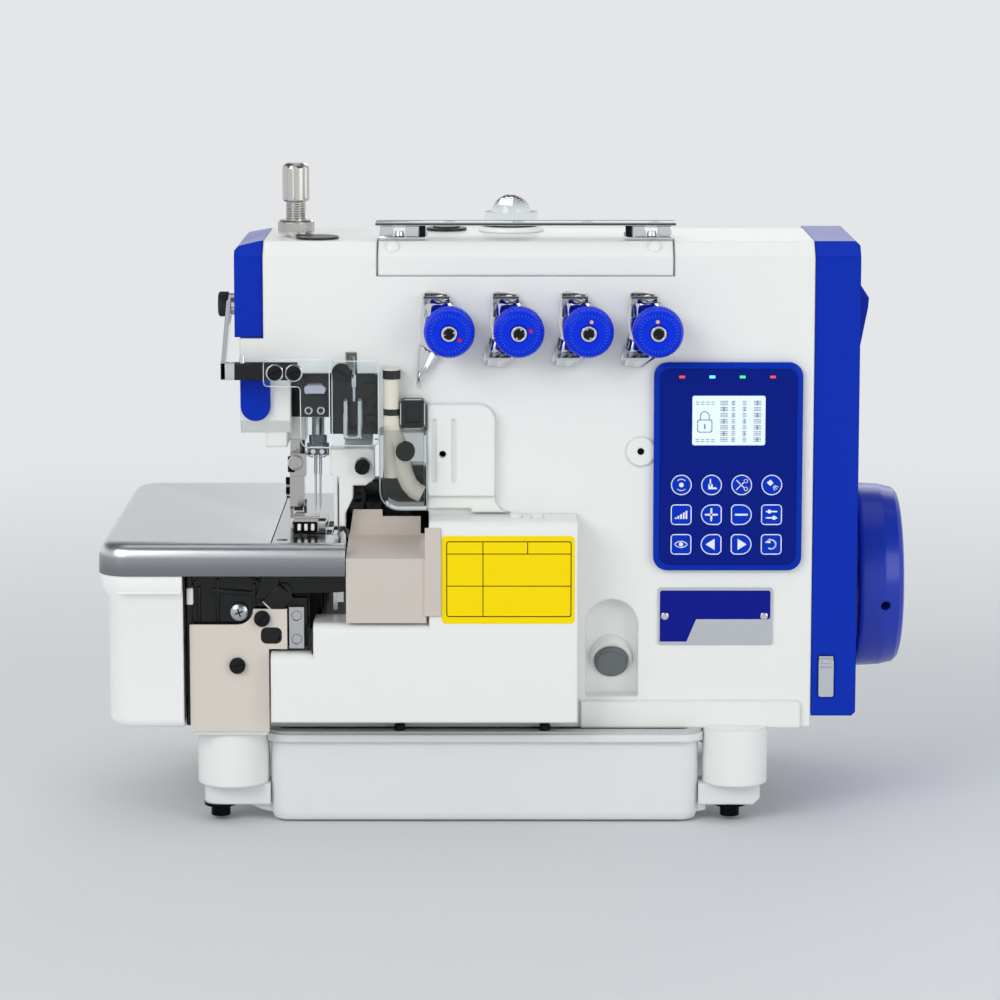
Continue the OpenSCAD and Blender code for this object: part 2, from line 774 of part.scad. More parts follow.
module upper_knife_arm() color(white)
    difference() {
        union() {
            rod_x(-82, jaw_left - 0.5, knife_pivot_y, knife_pivot_z, 8.5);
            along_x(-82, -68) polygon([
                [knife_pivot_y - 6, knife_pivot_z + 6], [knife_pivot_y - 7, knife_pivot_z - 5],
                [-46, 190], [-46, 178], [-57, 172], [-70, 175], [-70, 191], [-52, 194],
                [-32, 213]]);
            // broad painted head that carries the blade clamp
            along_y(-70, -58) polygon([
                [-89, 190.8], [-66.5, 190.8], [-66.5, 176], [-71, 172.5], [-77.5, 172.5],
                [-77.5, 166], [-81.4, 158], [-81.4, 151.5], [-84.5, 151.5], [-84.5, 176.5],
                [-89, 178]]);
            // cheek on the blade's outer side
            block([-87.2, -70, 151.5], [-85.3, -58, 179]);
        }
        rod_x(-83, -63, knife_pivot_y, knife_pivot_z, 5 - 0.01);
        rod_y(-71, -65, -72.5, 182.5, 2.05);
    }

// Pivot shaft, blade, its clamp screw and washer face
module upper_knife() color(dark) {
    rod_x(-84, column_left + 10, knife_pivot_y, knife_pivot_z, 5 - 0.02);
    block([-85.3, -66, 148.4], [-84.5, -52, 172]);
    cheese_screw(-72.5, 182.5, -73.2, 3.8, 3.2, 2, 4);
}

module looper_hook(points, y, thick)
    along_y(y, y + thick) polygon(points);

module lower_looper() color(steel) {
    x = looper_shaft_x;
    z = looper_shaft_z;
    rod_y(-46, 26, x, z, 5);
    rod_y(lower_looper_y[0], -44, x, z, 7.5);
    looper_hook([[x - 5, z], [x + 5, z], [x + 2.6, z + 26], [x + 3.2, z + 40], [x + 8, z + 45],
        [x + 18, z + 49], [x + 10, z + 49.8], [x + 1, z + 47.4], [x - 2.6, z + 40],
        [x - 2.8, z + 26]], lower_looper_y[0], lower_looper_y[1] - lower_looper_y[0]);
}

module upper_looper() color(steel) {
    sloping(-60, -16, 2.5, -47.6);
    rod_y(-51, -44.2, upper_tip.x - 60 * cos(upper_slope), upper_tip.y - 60 * sin(upper_slope),
        4.4);
    // the thin hook bends over to its point
    translate([upper_tip.x, 0, upper_tip.y]) looper_hook([
        [14, -16], [11, -18], [5.4, -11], [1.4, -4.6], [-0.4, 0], [3.6, -3.4], [8, -9.6]],
        upper_looper_y[0], upper_looper_y[1] - upper_looper_y[0]);
}

// ---- Presser ----

module presser_bar() color(steel) {
    rod_z(177, 268, presser_x, presser_y, presser_r);
    difference() {
        union() {
            block([-110.4, -50, 174], [-102.2, presser_y, 185.7]);
            block([-110.8, -46, 157.5], [-103.4, -39, 175]);
            rod_x(-110.8, -103.4, foot_pin_y, foot_pin_z, 3.2);
            along_x(-110.8, -103.4) polygon([[-46, 160], [-33, 154], [-33, 159.6], [-39, 172]]);
        }
        rod_x(-112, -102, foot_pin_y, foot_pin_z, 1.6);
        block([-114, foot_pin_y - 3.8, 150], [-109.4, foot_pin_y + 4, 160]);
        block([-104.8, foot_pin_y - 3.8, 150], [-101, foot_pin_y + 4, 160]);
    }
    rod_y(-53, -50, -107.4, 181.5, 3);
    for (z = [163, 168])
        rod_x(-112.8, -110.8, -43, z, 1.6);
}

foot_lo = -70;

module presser_foot() color(steel)
    difference() {
        union() {
            along_x(-108.6, -91.6) polygon([
                [foot_lo + 1, 150.2], [foot_lo + 4, plate_top + gap], [-31.5, plate_top + gap],
                [-29.6, plate_top + 1.6], [-29.6, 151], [-58, 151], [-60, 152.4], [foot_lo + 1, 152.4]]);
            for (x = [-111.4, -104.4])
                difference() {
                    rod_x(x, x + 1.6, foot_pin_y, foot_pin_z, 3.2);
                    rod_x(x - 1, x + 3, foot_pin_y, foot_pin_z, 1.5);
                }
            block([-108.6, foot_pin_y - 3.2, 150], [-104.4 + 1.6, foot_pin_y + 3, 153]);
            block([-111.4, foot_pin_y - 3, 151], [-109.8, foot_pin_y + 3, foot_pin_z - 1.8]);
            block([-104.4, foot_pin_y - 3, 151], [-102.8, foot_pin_y + 3, foot_pin_z - 1.8]);
            block([-111.4, foot_pin_y - 3, 150], [-108, foot_pin_y + 3, 152]);
            rod_x(-111.4, -102.8, foot_pin_y, foot_pin_z, 1.5);
            // toe cap with three guide fingers
            block([-107.2, foot_lo, 149], [-95, foot_lo + 4, 155.4]);
            block([-107.6, foot_lo - 0.4, 155.4], [-94.6, foot_lo + 9, 156.8]);
            block([-105.6, foot_lo + 3, 152], [-96.6, foot_lo + 8, 156]);
        }
        block([-100.4, needle_y - 7, 146], [-92.4, needle_y + 7, 153]);
        for (x = [-103.8, -98.4])
            block([x, foot_lo - 1, 148], [x + 1.2, foot_lo + 2, 153]);
    }

module regulator_screw() color(steel)
    difference() {
        translate([presser_x, presser_y, 0])
            rotate_extrude() polygon([
                [0, 281], [5, 281], [5, 314], [6.2, 314], [6.9, 314.8], [6.9, 331],
                [6.3, 332.4], [4.6, 333.5], [0, 333.5]]);
        // eight broad flutes round the cap
        for (a = [0:45:315])
            translate([presser_x, presser_y, 0]) rotate([0, 0, a])
                translate([9, 0, 315.6]) cylinder(h = 30, r = 2.6, $fn = 24);
    }

module regulator_nut() color(steel)
    difference() {
        translate([presser_x, presser_y, 0])
            rotate_extrude() polygon([
                [5 + fit, head_top + 1.6], [9, head_top + 1.6], [9, head_top + 7.6],
                [8.2, head_top + 8.6], [5 + fit, head_top + 8.6]]);
        for (a = [0:15:345])
            translate([presser_x, presser_y, 0]) rotate([0, 0, a])
                translate([9.25, 0, head_top + 2.4]) cylinder(h = 10, r = 0.55, $fn = 4);
    }

// ---- Needle bar ----

module needle_bar() color(steel) {
    leaning_frame() {
        translate([0, 0, 44]) cylinder(h = 84, r = 3.3);
        // driving block in the arm
        translate([0, 0, 118]) cylinder(h = 8, r = 4.9);
    }
    // half of the link to the rocker's lever
    block([-98.4, -27, 262], [-94.4, -19.5, 268]);
}

module needle_clamp() color(dark)
    leaning_frame()
        difference() {
            union() {
                translate([0, 0, 37.5]) linear_extrude(6.3)
                    polygon(round_rect([-5.7, -4.6], [5.7, 4.8], 4));
                translate([0, 0, 43.8]) linear_extrude(4)
                    polygon(round_rect([-4.6, -4.4], [4.6, 4.4], 2));
                for (x = [-2.6, 2.6])
                    translate([x, -3, 40.7]) rotate([90, 0, 0]) cylinder(h = 3, r = 1.9);
            }
            for (side = [-1, 1])
                translate([side * needle_gauge / 2, 0, 33]) cylinder(h = 10, r = 0.83);
            translate([0, 0, 44]) cylinder(h = 10, r = 3.3);
        }

module needles() color(steel)
    leaning_frame()
        for (side = [-1, 1])
            translate([side * needle_gauge / 2, 0, 0]) {
                translate([0, 0, 28]) cylinder(h = 15, r = 0.82);
                translate([0, 0, 13]) cylinder(h = 15, r = 0.55);
                translate([0, 0, 9]) cylinder(h = 4, r1 = 0.06, r2 = 0.55);
            }

// Eyelet block and the guide rods beside it
module thread_take_up() color(steel) {
    difference() {
        along_y(-70, -60 - 0.01) polygon(round_rect([-102.2, 207.5], [-90.8, 223.5], 2.6));
        for (x = [-99.6, -93.4])
            rod_y(-71, -59, x, 210.8, 1.5);
        block([-103, -71, 215], [-90, -68.5, 217]);
    }
    for (x = [-81, -73.8])
        rod_z(197, arm_bottom, x, -68, 0.9);
    rod_x(-82, -72.8, -68, 197, 1.1);
    rod_z(arm_bottom - 15, 238, -76.8, -66, 1.3);
    block([-78.6, -67.5, 222], [-75, -64.5, 229]);
}

// ---- Face side ----

module face_cover() color(blue)
    difference() {
        intersection() {
            along_x(-136.6, head_left - gap) head_profile(-70, 24, 248);
            along_y(-80, 40) polygon([
                [-137, 247], [head_left, 247], [head_left, 304], [-123.5, head_top],
                [-134.6, head_top - 2.4], [-136.6, head_top - 4.5]]);
        }
        along_x(-133.6, head_left) polygon([
            [-66, 251], [-66, 286], [-60, 290], [8, 290], [20, 284], [20, 251]]);
    }

module lamp_housing() color(blue)
    along_y(head_front - 2.6, head_front) polygon(concat(
        [[-118.6, 234], [-133.6, 234]],
        arc([-126.1, 213.5], 7.5, 180, 360, 12)));

guard_pivot_y = -40;
guard_pivot_z = 261.5;

// Lever, cross bar and pivot knob of the swing-up eye guard
module guard_arm() color(steel) {
    difference() {
        union() {
            rod_x(-141.6, -137, guard_pivot_y, guard_pivot_z, 5.6);
            rod_x(-146.6, -141.6, guard_pivot_y, guard_pivot_z, 6.4);
            along_x(-142.6, -140.2) polygon([
                [guard_pivot_y - 3, guard_pivot_z + 4], [guard_pivot_y + 3, guard_pivot_z - 4],
                [-83, 228.6], [-88, 228.6], [-88, 237.6], [-83, 237.6]]);
            block([-142.6, -88, 228.6], [-104, -85, 237.4]);
            rod_z(237.4, 240.6, -131.6, -86.5, 1.6);
        }
        rod_x(-147, -136, guard_pivot_y, guard_pivot_z, 2);
        for (x = [-115.2, -105.8])
            rod_y(-89, -84, x, 232.6, 1.6);
    }
    rod_x(-147, -137, guard_pivot_y, guard_pivot_z, 2);
    for (x = [-115.2, -105.8])
        cheese_screw(x, 232.6, -93, 4.2, 3, 1.6, 5);
}

module eye_guard() color("#dfe8ee", 0.4)
    difference() {
        along_y(-90, -88) polygon(concat(
            [[-88, 239]],
            arc([-119, 237], 2, 90, 180, 4),
            arc([-119, 227.6], 2, 180, 270, 4),
            arc([-104.5, 223.6], 2, 90, 0, 4),
            arc([-98.5, 198.7], 4, 180, 270, 5),
            [[-88, 194.7]]));
        for (x = [-115.2, -105.8])
            rod_y(-91, -87, x, 232.6, 1.7);
    }

module finger_guard() color("#dfe8ee", 0.4)
    difference() {
        union() {
            along_y(-79, -77) polygon(concat(
                [[-87.4, 237], [-87.4, 194]],
                arc([-67, 197], 3, 270, 360, 5),
                [[-64, 237]]));
            block([-66, -77, 197], [-64, head_front, 230]);
        }
        rod_y(-80, -76, -82.6, 231.5, 1.7);
    }

// ---- Thread-chain suction ----

pipe_x = -57.4;
pipe_y = -77;

// Upright tube with a banded cap, held to the jaw by a short stub
module suction_pipe() color("#e8e4d8")
    difference() {
        union() {
            rod_z(178, 231, pipe_x, pipe_y, 4);
            rod_z(204, 208, pipe_x, pipe_y, 4.4);
            rod_z(228, 233, pipe_x, pipe_y, 4.4);
            rod_y(pipe_y, head_front, pipe_x, 222, 3.4);
        }
        rod_z(177, 226, pipe_x, pipe_y, 2.8);
    }

chute_front = -84;

module chute_outline(inset, top)
    polygon(concat(
        [[column_left - inset, 162 + inset], [column_left - inset, top], [-63.6 + inset, top]],
        arc([-53.6, 172], 10 - inset, 180, 270, 6)));

// Open at the top; its front reaches up over the jaw
module suction_chute() color("#8b8d88", 0.6)
    difference() {
        union() {
            along_y(chute_front, -66) chute_outline(0, 199);
            along_y(chute_front, head_front - gap) chute_outline(0, 202.7);
        }
        along_y(chute_front + 1.8, -67.8) chute_outline(1.8, 204);
    }

module nozzle_block() color(dark) {
    difference() {
        along_y(head_front - 8, head_front) polygon(round_rect([-52.8, 203], [-41, 217.6], 1.6));
        block([-50.6, head_front - 9, 206], [-43.2, head_front - 6.8, 215]);
    }
    // round knob on the chute
    rod_y(chute_front - 4.5, chute_front, -50.4, 192.5, 4.8);
    // slotted screw of the finger guard
    cheese_screw(-82.6, 231.5, -82, 4.6, 3, 1.6, 1.9);
}

// ---- Drive ----

module main_shaft() color(steel) {
    rod_x(-132, 200, shaft_y, shaft_z, shaft_r);
    rod_x(rod_x0, rod_x1, shaft_y, shaft_z + eccentric_throw, eccentric_r);
    // balance weight
    intersection() {
        rod_x(84, 98, shaft_y, shaft_z, 19);
        block([84, shaft_y - 20, shaft_z - 20], [98, shaft_y + 20, shaft_z + 4]);
    }
    for (x = [-112, -72])
        rod_x(x, x + 8, shaft_y, shaft_z + 2, 10.5);
}

module shaft_bearings() color(steel)
    for (x = [left_box_right - wall + 1, mid_wall_x + 1, head_right - wall + 1])
        difference() {
            rod_x(x, x + 10, shaft_y, shaft_z, 14);
            rod_x(x - 1, x + 11, shaft_y, shaft_z, shaft_r + fit);
            rod_x(x - 1, x + 1, shaft_y, shaft_z, 11.6);
            rod_x(x + 9, x + 11, shaft_y, shaft_z, 11.6);
        }

module rocker_shaft() color(steel) {
    rod_x(-121, 58, rocker_y, rocker_z, rocker_r);
    rocker_lever(-103, -90, needle_lever, 10, 3);
    rocker_lever(50, 58, drive_lever, 9, 4);
    // short crank pin that the connecting rod hangs on
    rod_x(57, 59.8, rod_top.x, rod_top.y, 3);
}

// A lever that points forwards and up from the rocker shaft
module rocker_lever(x0, x1, reach, hub_r, end_r) {
    rod_x(x0, x1, rocker_y, rocker_z, hub_r);
    translate([0, rocker_y, rocker_z]) rotate([-rocker_lift, 0, 0]) {
        along_x(x0 + 0.6, x1 - 0.6) polygon([
            [0, -hub_r + 1], [0, hub_r - 1], [-reach, end_r - 0.5], [-reach, 0.5 - end_r]]);
        rod_x(x0, x1, -reach, 0, end_r);
    }
}

module connecting_rod() color(steel) {
    big_end = [shaft_y, shaft_z + eccentric_throw];
    difference() {
        union() {
            rod_x(rod_x0 + 0.4, rod_x1 - 0.4, big_end.x, big_end.y, eccentric_r + 3.6);
            along_x(rod_x0 + 1, rod_x1 - 1) polygon([
                [big_end.x - 7, big_end.y + 10], [big_end.x + 7, big_end.y + 10],
                [rod_top.x + 4, rod_top.y], [rod_top.x - 4, rod_top.y]]);
            rod_x(rod_x0 + 0.4, rod_x1 - 0.4, rod_top.x, rod_top.y, 6.5);
        }
        rod_x(rod_x0 - 1, rod_x1 + 1, big_end.x, big_end.y, eccentric_r + fit);
        rod_x(rod_x0 - 1, rod_x1 + 1, rod_top.x, rod_top.y, 3.5);
    }
}

module motor_stator() color("#9a7b52")
    difference() {
        rod_x(head_right, 172, shaft_y, shaft_z, 40);
        rod_x(head_right - 1, 173, shaft_y, shaft_z, 26);
        for (a = [0:30:330])
            translate([head_right - 1, shaft_y, shaft_z]) rotate([a, 0, 0])
                translate([0, -3, 25]) cube([20, 6, 8]);
    }

module motor_rotor() color(steel)
    difference() {
        rod_x(head_right + 1, 171, shaft_y, shaft_z, 25);
        rod_x(head_right, 172, shaft_y, shaft_z, shaft_r);
        for (a = [0:60:300])
            translate([head_right, shaft_y, shaft_z]) rotate([a, 0, 0])
                translate([0, 0, 16]) rotate([0, 90, 0]) cylinder(h = 18, r = 4);
    }

module handwheel() color(blue)
    difference() {
        translate([0, shaft_y, shaft_z]) rotate([0, 90, 0]) rotate_extrude()
            polygon([
                [shaft_r, 181], [handwheel_r - 2, 181], [handwheel_r - 0.4, 182],
                [handwheel_r, 184], [handwheel_r - 0.6, 195], [handwheel_r - 2.2, 202],
                [handwheel_r - 4.4, half_width - 0.8], [handwheel_r - 7, half_width],
                [handwheel_r - 14, half_width], [handwheel_r - 17, 200.5], [18, 200.5],
                [16, 204], [shaft_r, 204]]);
        // set screw hole in the rim
        translate([195, shaft_y, shaft_z]) rotate([100, 0, 0])
            translate([0, 0, handwheel_r - 12]) cylinder(h = 14, r = 2.5);
        // finger hollow in the face
        translate([half_width - 3, shaft_y, shaft_z + 25]) rotate([0, 90, 0])
            cylinder(h = 5, r = 7.5);
    }

cover_x1 = 178;

module motor_cover() color(blue)
    difference() {
        union() {
            intersection() {
                along_x(head_right + gap, cover_x1) polygon([
                    [head_front, 54], [head_front, head_top - chamfer_z],
                    [head_front + chamfer_y, head_top], [22, head_top], [40, head_top - 8],
                    [62, 262], [62, 54]]);
                along_y(head_front - 1, 63) polygon([
                    [head_right, 53], [cover_x1 - 3, 53], [cover_x1, 56],
                    [cover_x1, head_top - 2], [cover_x1 - 2, head_top], [head_right, head_top]]);
            }
            // ventilation hood
            along_y(-24, 16) polygon([
                [cover_x1 - 1, 275], [cover_x1 + 4.4, 270], [cover_x1 + 9, 263],
                [cover_x1 + 8.6, 258], [cover_x1 - 1, 208]]);
        }
        along_x(head_right + 3, cover_x1 - 3) polygon([
            [head_front + 3, 57], [head_front + 3, head_top - 9], [head_front + 10, head_top - 3],
            [21, head_top - 3], [38, head_top - 11], [59, 260], [59, 57]]);
        // its left side is open only where the casting closes it
        along_x(head_right, head_right + 4) polygon([
            [head_front + 3, 57], [head_front + 3, head_top - 9], [head_front + 10, head_top - 3],
            [8, head_top - 3], [24, head_top - 12], [24, 148], [59, 132], [59, 57]]);
        rod_x(cover_x1 - 4, cover_x1 + 1, shaft_y, shaft_z, 12);
        along_y(-20, 12) polygon([
            [cover_x1 - 4, 271], [cover_x1 + 2.6, 267], [cover_x1 + 6, 261.8],
            [cover_x1 + 5.7, 258], [cover_x1 - 4, 208]]);
        for (z = [226:6:250])
            block([cover_x1 - 1, -17, z], [cover_x1 + 12, 9, z + 2]);
        // recess of the service port
        along_y(head_front - 1, head_front + 2.2)
            polygon(round_rect([158.8, 63.6], [167, 85.4], 1.2));
        block([160.3, head_front - 1, 68], [165.5, head_front + 4, 80]);
    }

// ---- Control panel ----

panel_x0 = 74.4;
panel_z1 = 235.8;
panel_front = head_front - 4;
key_x0 = panel_x0 + 14;
key_z0 = panel_z1 - 62;
lcd_lo = [panel_x0 + 19.2, panel_z1 - 42];
lcd_hi = [panel_x0 + 56.2, panel_z1 - 16.6];

module control_panel() color(blue)
    difference() {
        union() {
            hull() {
                along_y(head_front - 3, head_front) polygon(
                    round_rect([panel_x0, panel_z1 - panel_h], [panel_x0 + panel_w, panel_z1], 7));
                along_y(panel_front, head_front - 1) polygon(
                    round_rect([panel_x0 + 2, panel_z1 - panel_h + 2],
                        [panel_x0 + panel_w - 2, panel_z1 - 2], 6));
            }
            block([panel_x0 + 11, head_front, 151], [panel_x0 + 62, head_front + 9, 221]);
        }
        along_y(panel_front - 1, panel_front + 0.8) polygon(
            round_rect([panel_x0 + 3, panel_z1 - panel_h + 3],
                [panel_x0 + panel_w - 3, panel_z1 - 3], 5));
    }

// Membrane with a clear display window, embossed keys and four lamps
module keypad() color("#061a8c")
    difference() {
        union() {
            along_y(panel_front + 0.2, panel_front + 0.8) polygon(
                round_rect([panel_x0 + 3.1, panel_z1 - panel_h + 3.1],
                    [panel_x0 + panel_w - 3.1, panel_z1 - 3.1], 4.9));
            for (col = [0:3], row = [0:2])
                translate([key_x0 + col * key_pitch, panel_front + 0.2, key_z0 - row * key_pitch])
                    key_cap(row, col);
            for (col = [0:3])
                translate([key_x0 + col * key_pitch, 0, panel_z1 - 7.1])
                    along_y(panel_front - 0.2, panel_front + 0.2)
                        polygon(round_rect([-1.5, -0.75], [1.5, 0.75], 0.6));
        }
        along_y(panel_front - 1, panel_front + 0.5)
            polygon(round_rect(lcd_lo, lcd_hi, 1.2));
    }

key_rise = 0.45;

module key_cap(row, col) {
    if (row == 0)
        rod_y(-key_rise, 0, 0, 0, key_r);
    else if (col == 1)
        along_y(-key_rise, 0) polygon(concat(
            arc([-0.2, 0], key_r, 90, 270, 10), arc([key_r - 2, -key_r + 2], 2, 270, 360, 4),
            arc([key_r - 2, key_r - 2], 2, 0, 90, 4)));
    else if (col == 2)
        along_y(-key_rise, 0) polygon(concat(
            arc([0.2, 0], key_r, -90, 90, 10), arc([-key_r + 2, key_r - 2], 2, 90, 180, 4),
            arc([-key_r + 2, -key_r + 2], 2, 180, 270, 4)));
    else
        along_y(-key_rise, 0)
            polygon(round_rect([-key_r, -key_r], [key_r, key_r], 2));
}

module nameplate() color(steel) {
    along_y(head_front - 0.8, head_front) polygon(round_rect([77.1, 91], [135.4, 120.4], 1.4));
    for (x = [80.6, 131])
        translate([x, head_front - 0.8, 105.8]) rotate([90, 0, 0])
            cylinder(h = 0.7, r1 = 1.7, r2 = 1.1);
}

module usb_flap() color("#aab0b6") {
    difference() {
        along_y(head_front - 1, head_front + 0.8)
            polygon(round_rect([159.1, 64], [166.7, 83.6], 1));
        block([160, head_front - 1.4, 79], [165.8, head_front - 0.6, 79.6]);
    }
    block([160.6, head_front - 1.4, 81.4], [165.2, head_front - 1, 83.6]);
    rod_x(159.3, 166.5, head_front + 0.4, 84.1, 0.75);
    block([159.3, head_front, 82.6], [166.5, head_front + 0.8, 84.1]);
}

// ---- Thread tension units ----

module tension_knob(i) color(blue)
    translate([tension_x + i * tension_pitch, 0, tension_z]) rotate([90, 0, 0])
        rotate_extrude() polygon([
            [3 + fit, 84], [knob_r - 1.4, 84], [knob_r, 85.2], [knob_r, 93], [knob_r - 0.8, 94],
            [knob_r - 1, 96.6], [knob_r - 2.4, 98.4], [6.4, 98.9], [5, 97.4], [3 + fit, 97.4]]);

module tension_knob_1() tension_knob(0);
module tension_knob_2() tension_knob(1);
module tension_knob_3() tension_knob(2);
module tension_knob_4() tension_knob(3);

// Slotted posts, each with a coil spring and a pair of discs
module tension_posts() color(steel)
    for (i = [0:3])
        translate([tension_x + i * tension_pitch, 0, tension_z]) {
            difference() {
                rod_y(-98.6, -60, 0, 0, 3);
                translate([0, -98, 0]) rotate([0, -35, 0]) cube([7, 2.4, 1.1], center = true);
                rod_y(-99, -96.6, 0, 0, 2);
            }
            translate([0, 0, 0]) rotate([90, 0, 0]) rotate_extrude() polygon([
                [3, 74.4], [5, 74.4], [10.4, 75.8], [10.4, 76.4], [5, 75.4], [3, 75.4]]);
            translate([0, 0, 0]) rotate([90, 0, 0]) rotate_extrude() polygon([
                [3, 76.6], [5, 76.6], [10.4, 76.8], [10.4, 77.4], [5, 78], [3, 78]]);
            for (k = [0:3])
                translate([0, -78.2 - 1.3 * k, 0]) rotate([90, 0, 0]) rotate_extrude()
                    polygon([[4, 0], [6 - 0.3 * k, 0], [6 - 0.3 * k, 1.3], [4, 1.3]]);
        }

// Bent chrome thread plates, with a guide wing above and below each knob
module tension_plate(lower)
    difference() {
        union() {
            along_y(head_front - 1.6, head_front) polygon(concat(
                [[-15, 3]], [[-13.6, 17.4], [-10.6, 18.6], [-2, 17.2], [3, 11.6]],
                arc([0, 0], 9, 50, -70, 8), [[-3, -13], [-7, -17]],
                lower ? [[-17.4, -17.4], [-17.8, -14.6], [-13.4, -3.6]]
                      : [[-13, -21], [-14.8, -28], [-15.2, -26], [-14.6, -10]]));
            // wings turned forwards
            along_x(-13, 0) polygon([
                [head_front - 1, 12.4], [head_front - 9, 16.9], [head_front - 9.8, 15.7],
                [head_front - 1, 10.8]]);
            if (lower)
                along_x(-16.6, -4) polygon([
                    [head_front - 1, -11], [head_front - 8.6, -15.5], [head_front - 9, -14.1],
                    [head_front - 1, -9.2]]);
        }
        rod_y(head_front - 3, head_front + 1, 0, 0, 3);
        rod_y(head_front - 3, head_front + 1, -10.6, 15.6, 1.2);
    }

module tension_plates() color(steel)
    for (i = [0:3])
        translate([tension_x + i * tension_pitch, 0, tension_z])
            tension_plate(i > 0);

// ---- Top ----

module sight_glass() color("#e6edf2", 0.5)
    translate([2.6, -6, head_top]) {
        rotate_extrude() polygon([[0, 0], [15.6, 0], [15.6, 2], [14.6, 3], [0, 3]]);
        translate([0, 0, 3]) intersection() {
            cylinder(h = 7, r = 13.6);
            translate([-14.5, -8, 0]) cube([29, 16, 7]);
        }
        rotate_extrude() polygon(concat(
            [[0, 10], [10, 10]], arc([0, 9], 10, 10, 90, 10)));
    }

module top_plugs() color(dark) {
    translate([-95.5, -50, head_top]) cylinder(h = 1.2, r = 10.8);
    translate([-31, -2, head_top]) cylinder(h = 1.4, r = 10.5);
    translate([-31, -2, head_top + 1.4]) cylinder(h = 0.8, r = 7);
}

// Polished thread guide plate on its two feet, and the cover's dome screws
module thread_rail() color(steel) {
    along_x(-65.7, 85.4) polygon([
        [-64, head_top + 7.2], [-64, head_top + 8.4], [-63.4, head_top + 8.9],
        [-37, head_top + 8.9], [-37, head_top + 7.7], [-62.8, head_top + 7.7]]);
    for (x = [-63.6, 62]) {
        difference() {
            block([x, -60, head_top], [x + 21, -44, head_top + 8]);
            block([x + 4, -61, head_top + 1.6], [x + 17, -50, head_top + 7.7]);
        }
        rod_z(head_top, head_top + 3, x + 24, -50, 2.6);
    }
}

// ---- Output ----

machine_frame();
oil_pan();
pan_gasket();
mounting_bolts();
top_cover();
rear_cover();
cover_screws();
front_cover();
hinge_pins();
chip_guard();
bed_side_plate();
cloth_plate();
side_cover();
throat_plate();
feed_dog();
feed_bar();
plate_bracket();
lower_knife();
upper_knife_arm();
upper_knife();
upper_looper();
lower_looper();
presser_bar();
presser_foot();
regulator_screw();
regulator_nut();
needle_bar();
needle_clamp();
needles();
thread_take_up();
face_cover();
lamp_housing();
guard_arm();
eye_guard();
finger_guard();
suction_pipe();
suction_chute();
nozzle_block();
main_shaft();
shaft_bearings();
rocker_shaft();
connecting_rod();
motor_stator();
motor_rotor();
handwheel();
motor_cover();
control_panel();
keypad();
nameplate();
usb_flap();
stitch_length_button();
tension_knob_1();
tension_knob_2();
tension_knob_3();
tension_knob_4();
tension_posts();
tension_plates();
sight_glass();
top_plugs();
thread_rail();
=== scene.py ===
"""Dresses the overlock sewing machine: enamel, steel and plastic finishes, the printed
panel, knurled knobs, fasteners and threads, on a plain studio floor."""

import json
import math

import bmesh
import bpy
from bpy.props import FloatProperty, FloatVectorProperty, IntProperty, PointerProperty
from mathutils import Matrix, Vector


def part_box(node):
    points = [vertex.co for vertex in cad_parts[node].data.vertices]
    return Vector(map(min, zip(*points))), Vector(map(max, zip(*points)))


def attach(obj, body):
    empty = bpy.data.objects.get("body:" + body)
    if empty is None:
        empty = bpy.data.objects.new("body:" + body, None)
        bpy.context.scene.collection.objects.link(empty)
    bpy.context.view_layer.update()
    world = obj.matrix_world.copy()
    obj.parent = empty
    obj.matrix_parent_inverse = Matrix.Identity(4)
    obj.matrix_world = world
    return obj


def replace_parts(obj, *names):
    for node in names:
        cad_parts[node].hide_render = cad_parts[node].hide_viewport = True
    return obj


bl_info = {
    "name": "Overlock Sewing Machine",
    "version": (1, 0, 0),
    "blender": (4, 5, 0),
    "location": "3D View > Sidebar > Overlock",
    "description": "Finishes and small parts of a direct-drive overlock machine head",
    "category": "Object",
}

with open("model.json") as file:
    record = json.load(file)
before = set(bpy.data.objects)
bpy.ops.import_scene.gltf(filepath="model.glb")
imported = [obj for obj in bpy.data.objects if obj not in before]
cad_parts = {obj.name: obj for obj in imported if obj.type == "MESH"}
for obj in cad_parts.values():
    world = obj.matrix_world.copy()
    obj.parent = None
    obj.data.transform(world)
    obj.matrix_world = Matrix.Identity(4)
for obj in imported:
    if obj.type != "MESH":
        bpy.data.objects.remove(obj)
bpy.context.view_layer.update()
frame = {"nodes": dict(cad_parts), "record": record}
NODES = frame["nodes"]
BODY_OF = {n: b for b, ns in frame["record"]["behaviour"]["bodies"].items() for n in ns}
MM = 0.001
PAPER, BACKDROP, CEILING = "#dcdee0", "#e4e6e8", "#565a5f"
KEY_PITCH = 15.2
PANEL_RIM = 3.1
ARM_TOP = 296.0
FLOOR_REACH = 9.0


def box_mm(name):
    """Lowest and highest corner of a CAD node, in millimetres."""
    lo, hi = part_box(name)
    return lo / MM, hi / MM


# ---- Colour and nodes ----


def colour(code):
    """A '#rrggbb' sRGB colour as linear RGBA."""
    parts = [int(code[i : i + 2], 16) / 255 for i in (1, 3, 5)]
    return (*(c / 12.92 if c <= 0.04045 else ((c + 0.055) / 1.055) ** 2.4 for c in parts), 1.0)


def to_hex(rgb):
    """A colour property's sRGB value as '#rrggbb'."""
    return "#" + "".join(f"{round(max(0, min(1, c)) * 255):02x}" for c in rgb)


def add(tree, kind, settings=None, links=None):
    """Adds a node; settings name its attributes or inputs, links join inputs to outputs."""
    made = tree.nodes.new(kind)
    for key, value in (settings or {}).items():
        if isinstance(key, str) and hasattr(made, key):
            setattr(made, key, value)
        else:
            made.inputs[key].default_value = value
    for key, output in (links or {}).items():
        tree.links.new(output, made.inputs[key])
    return made


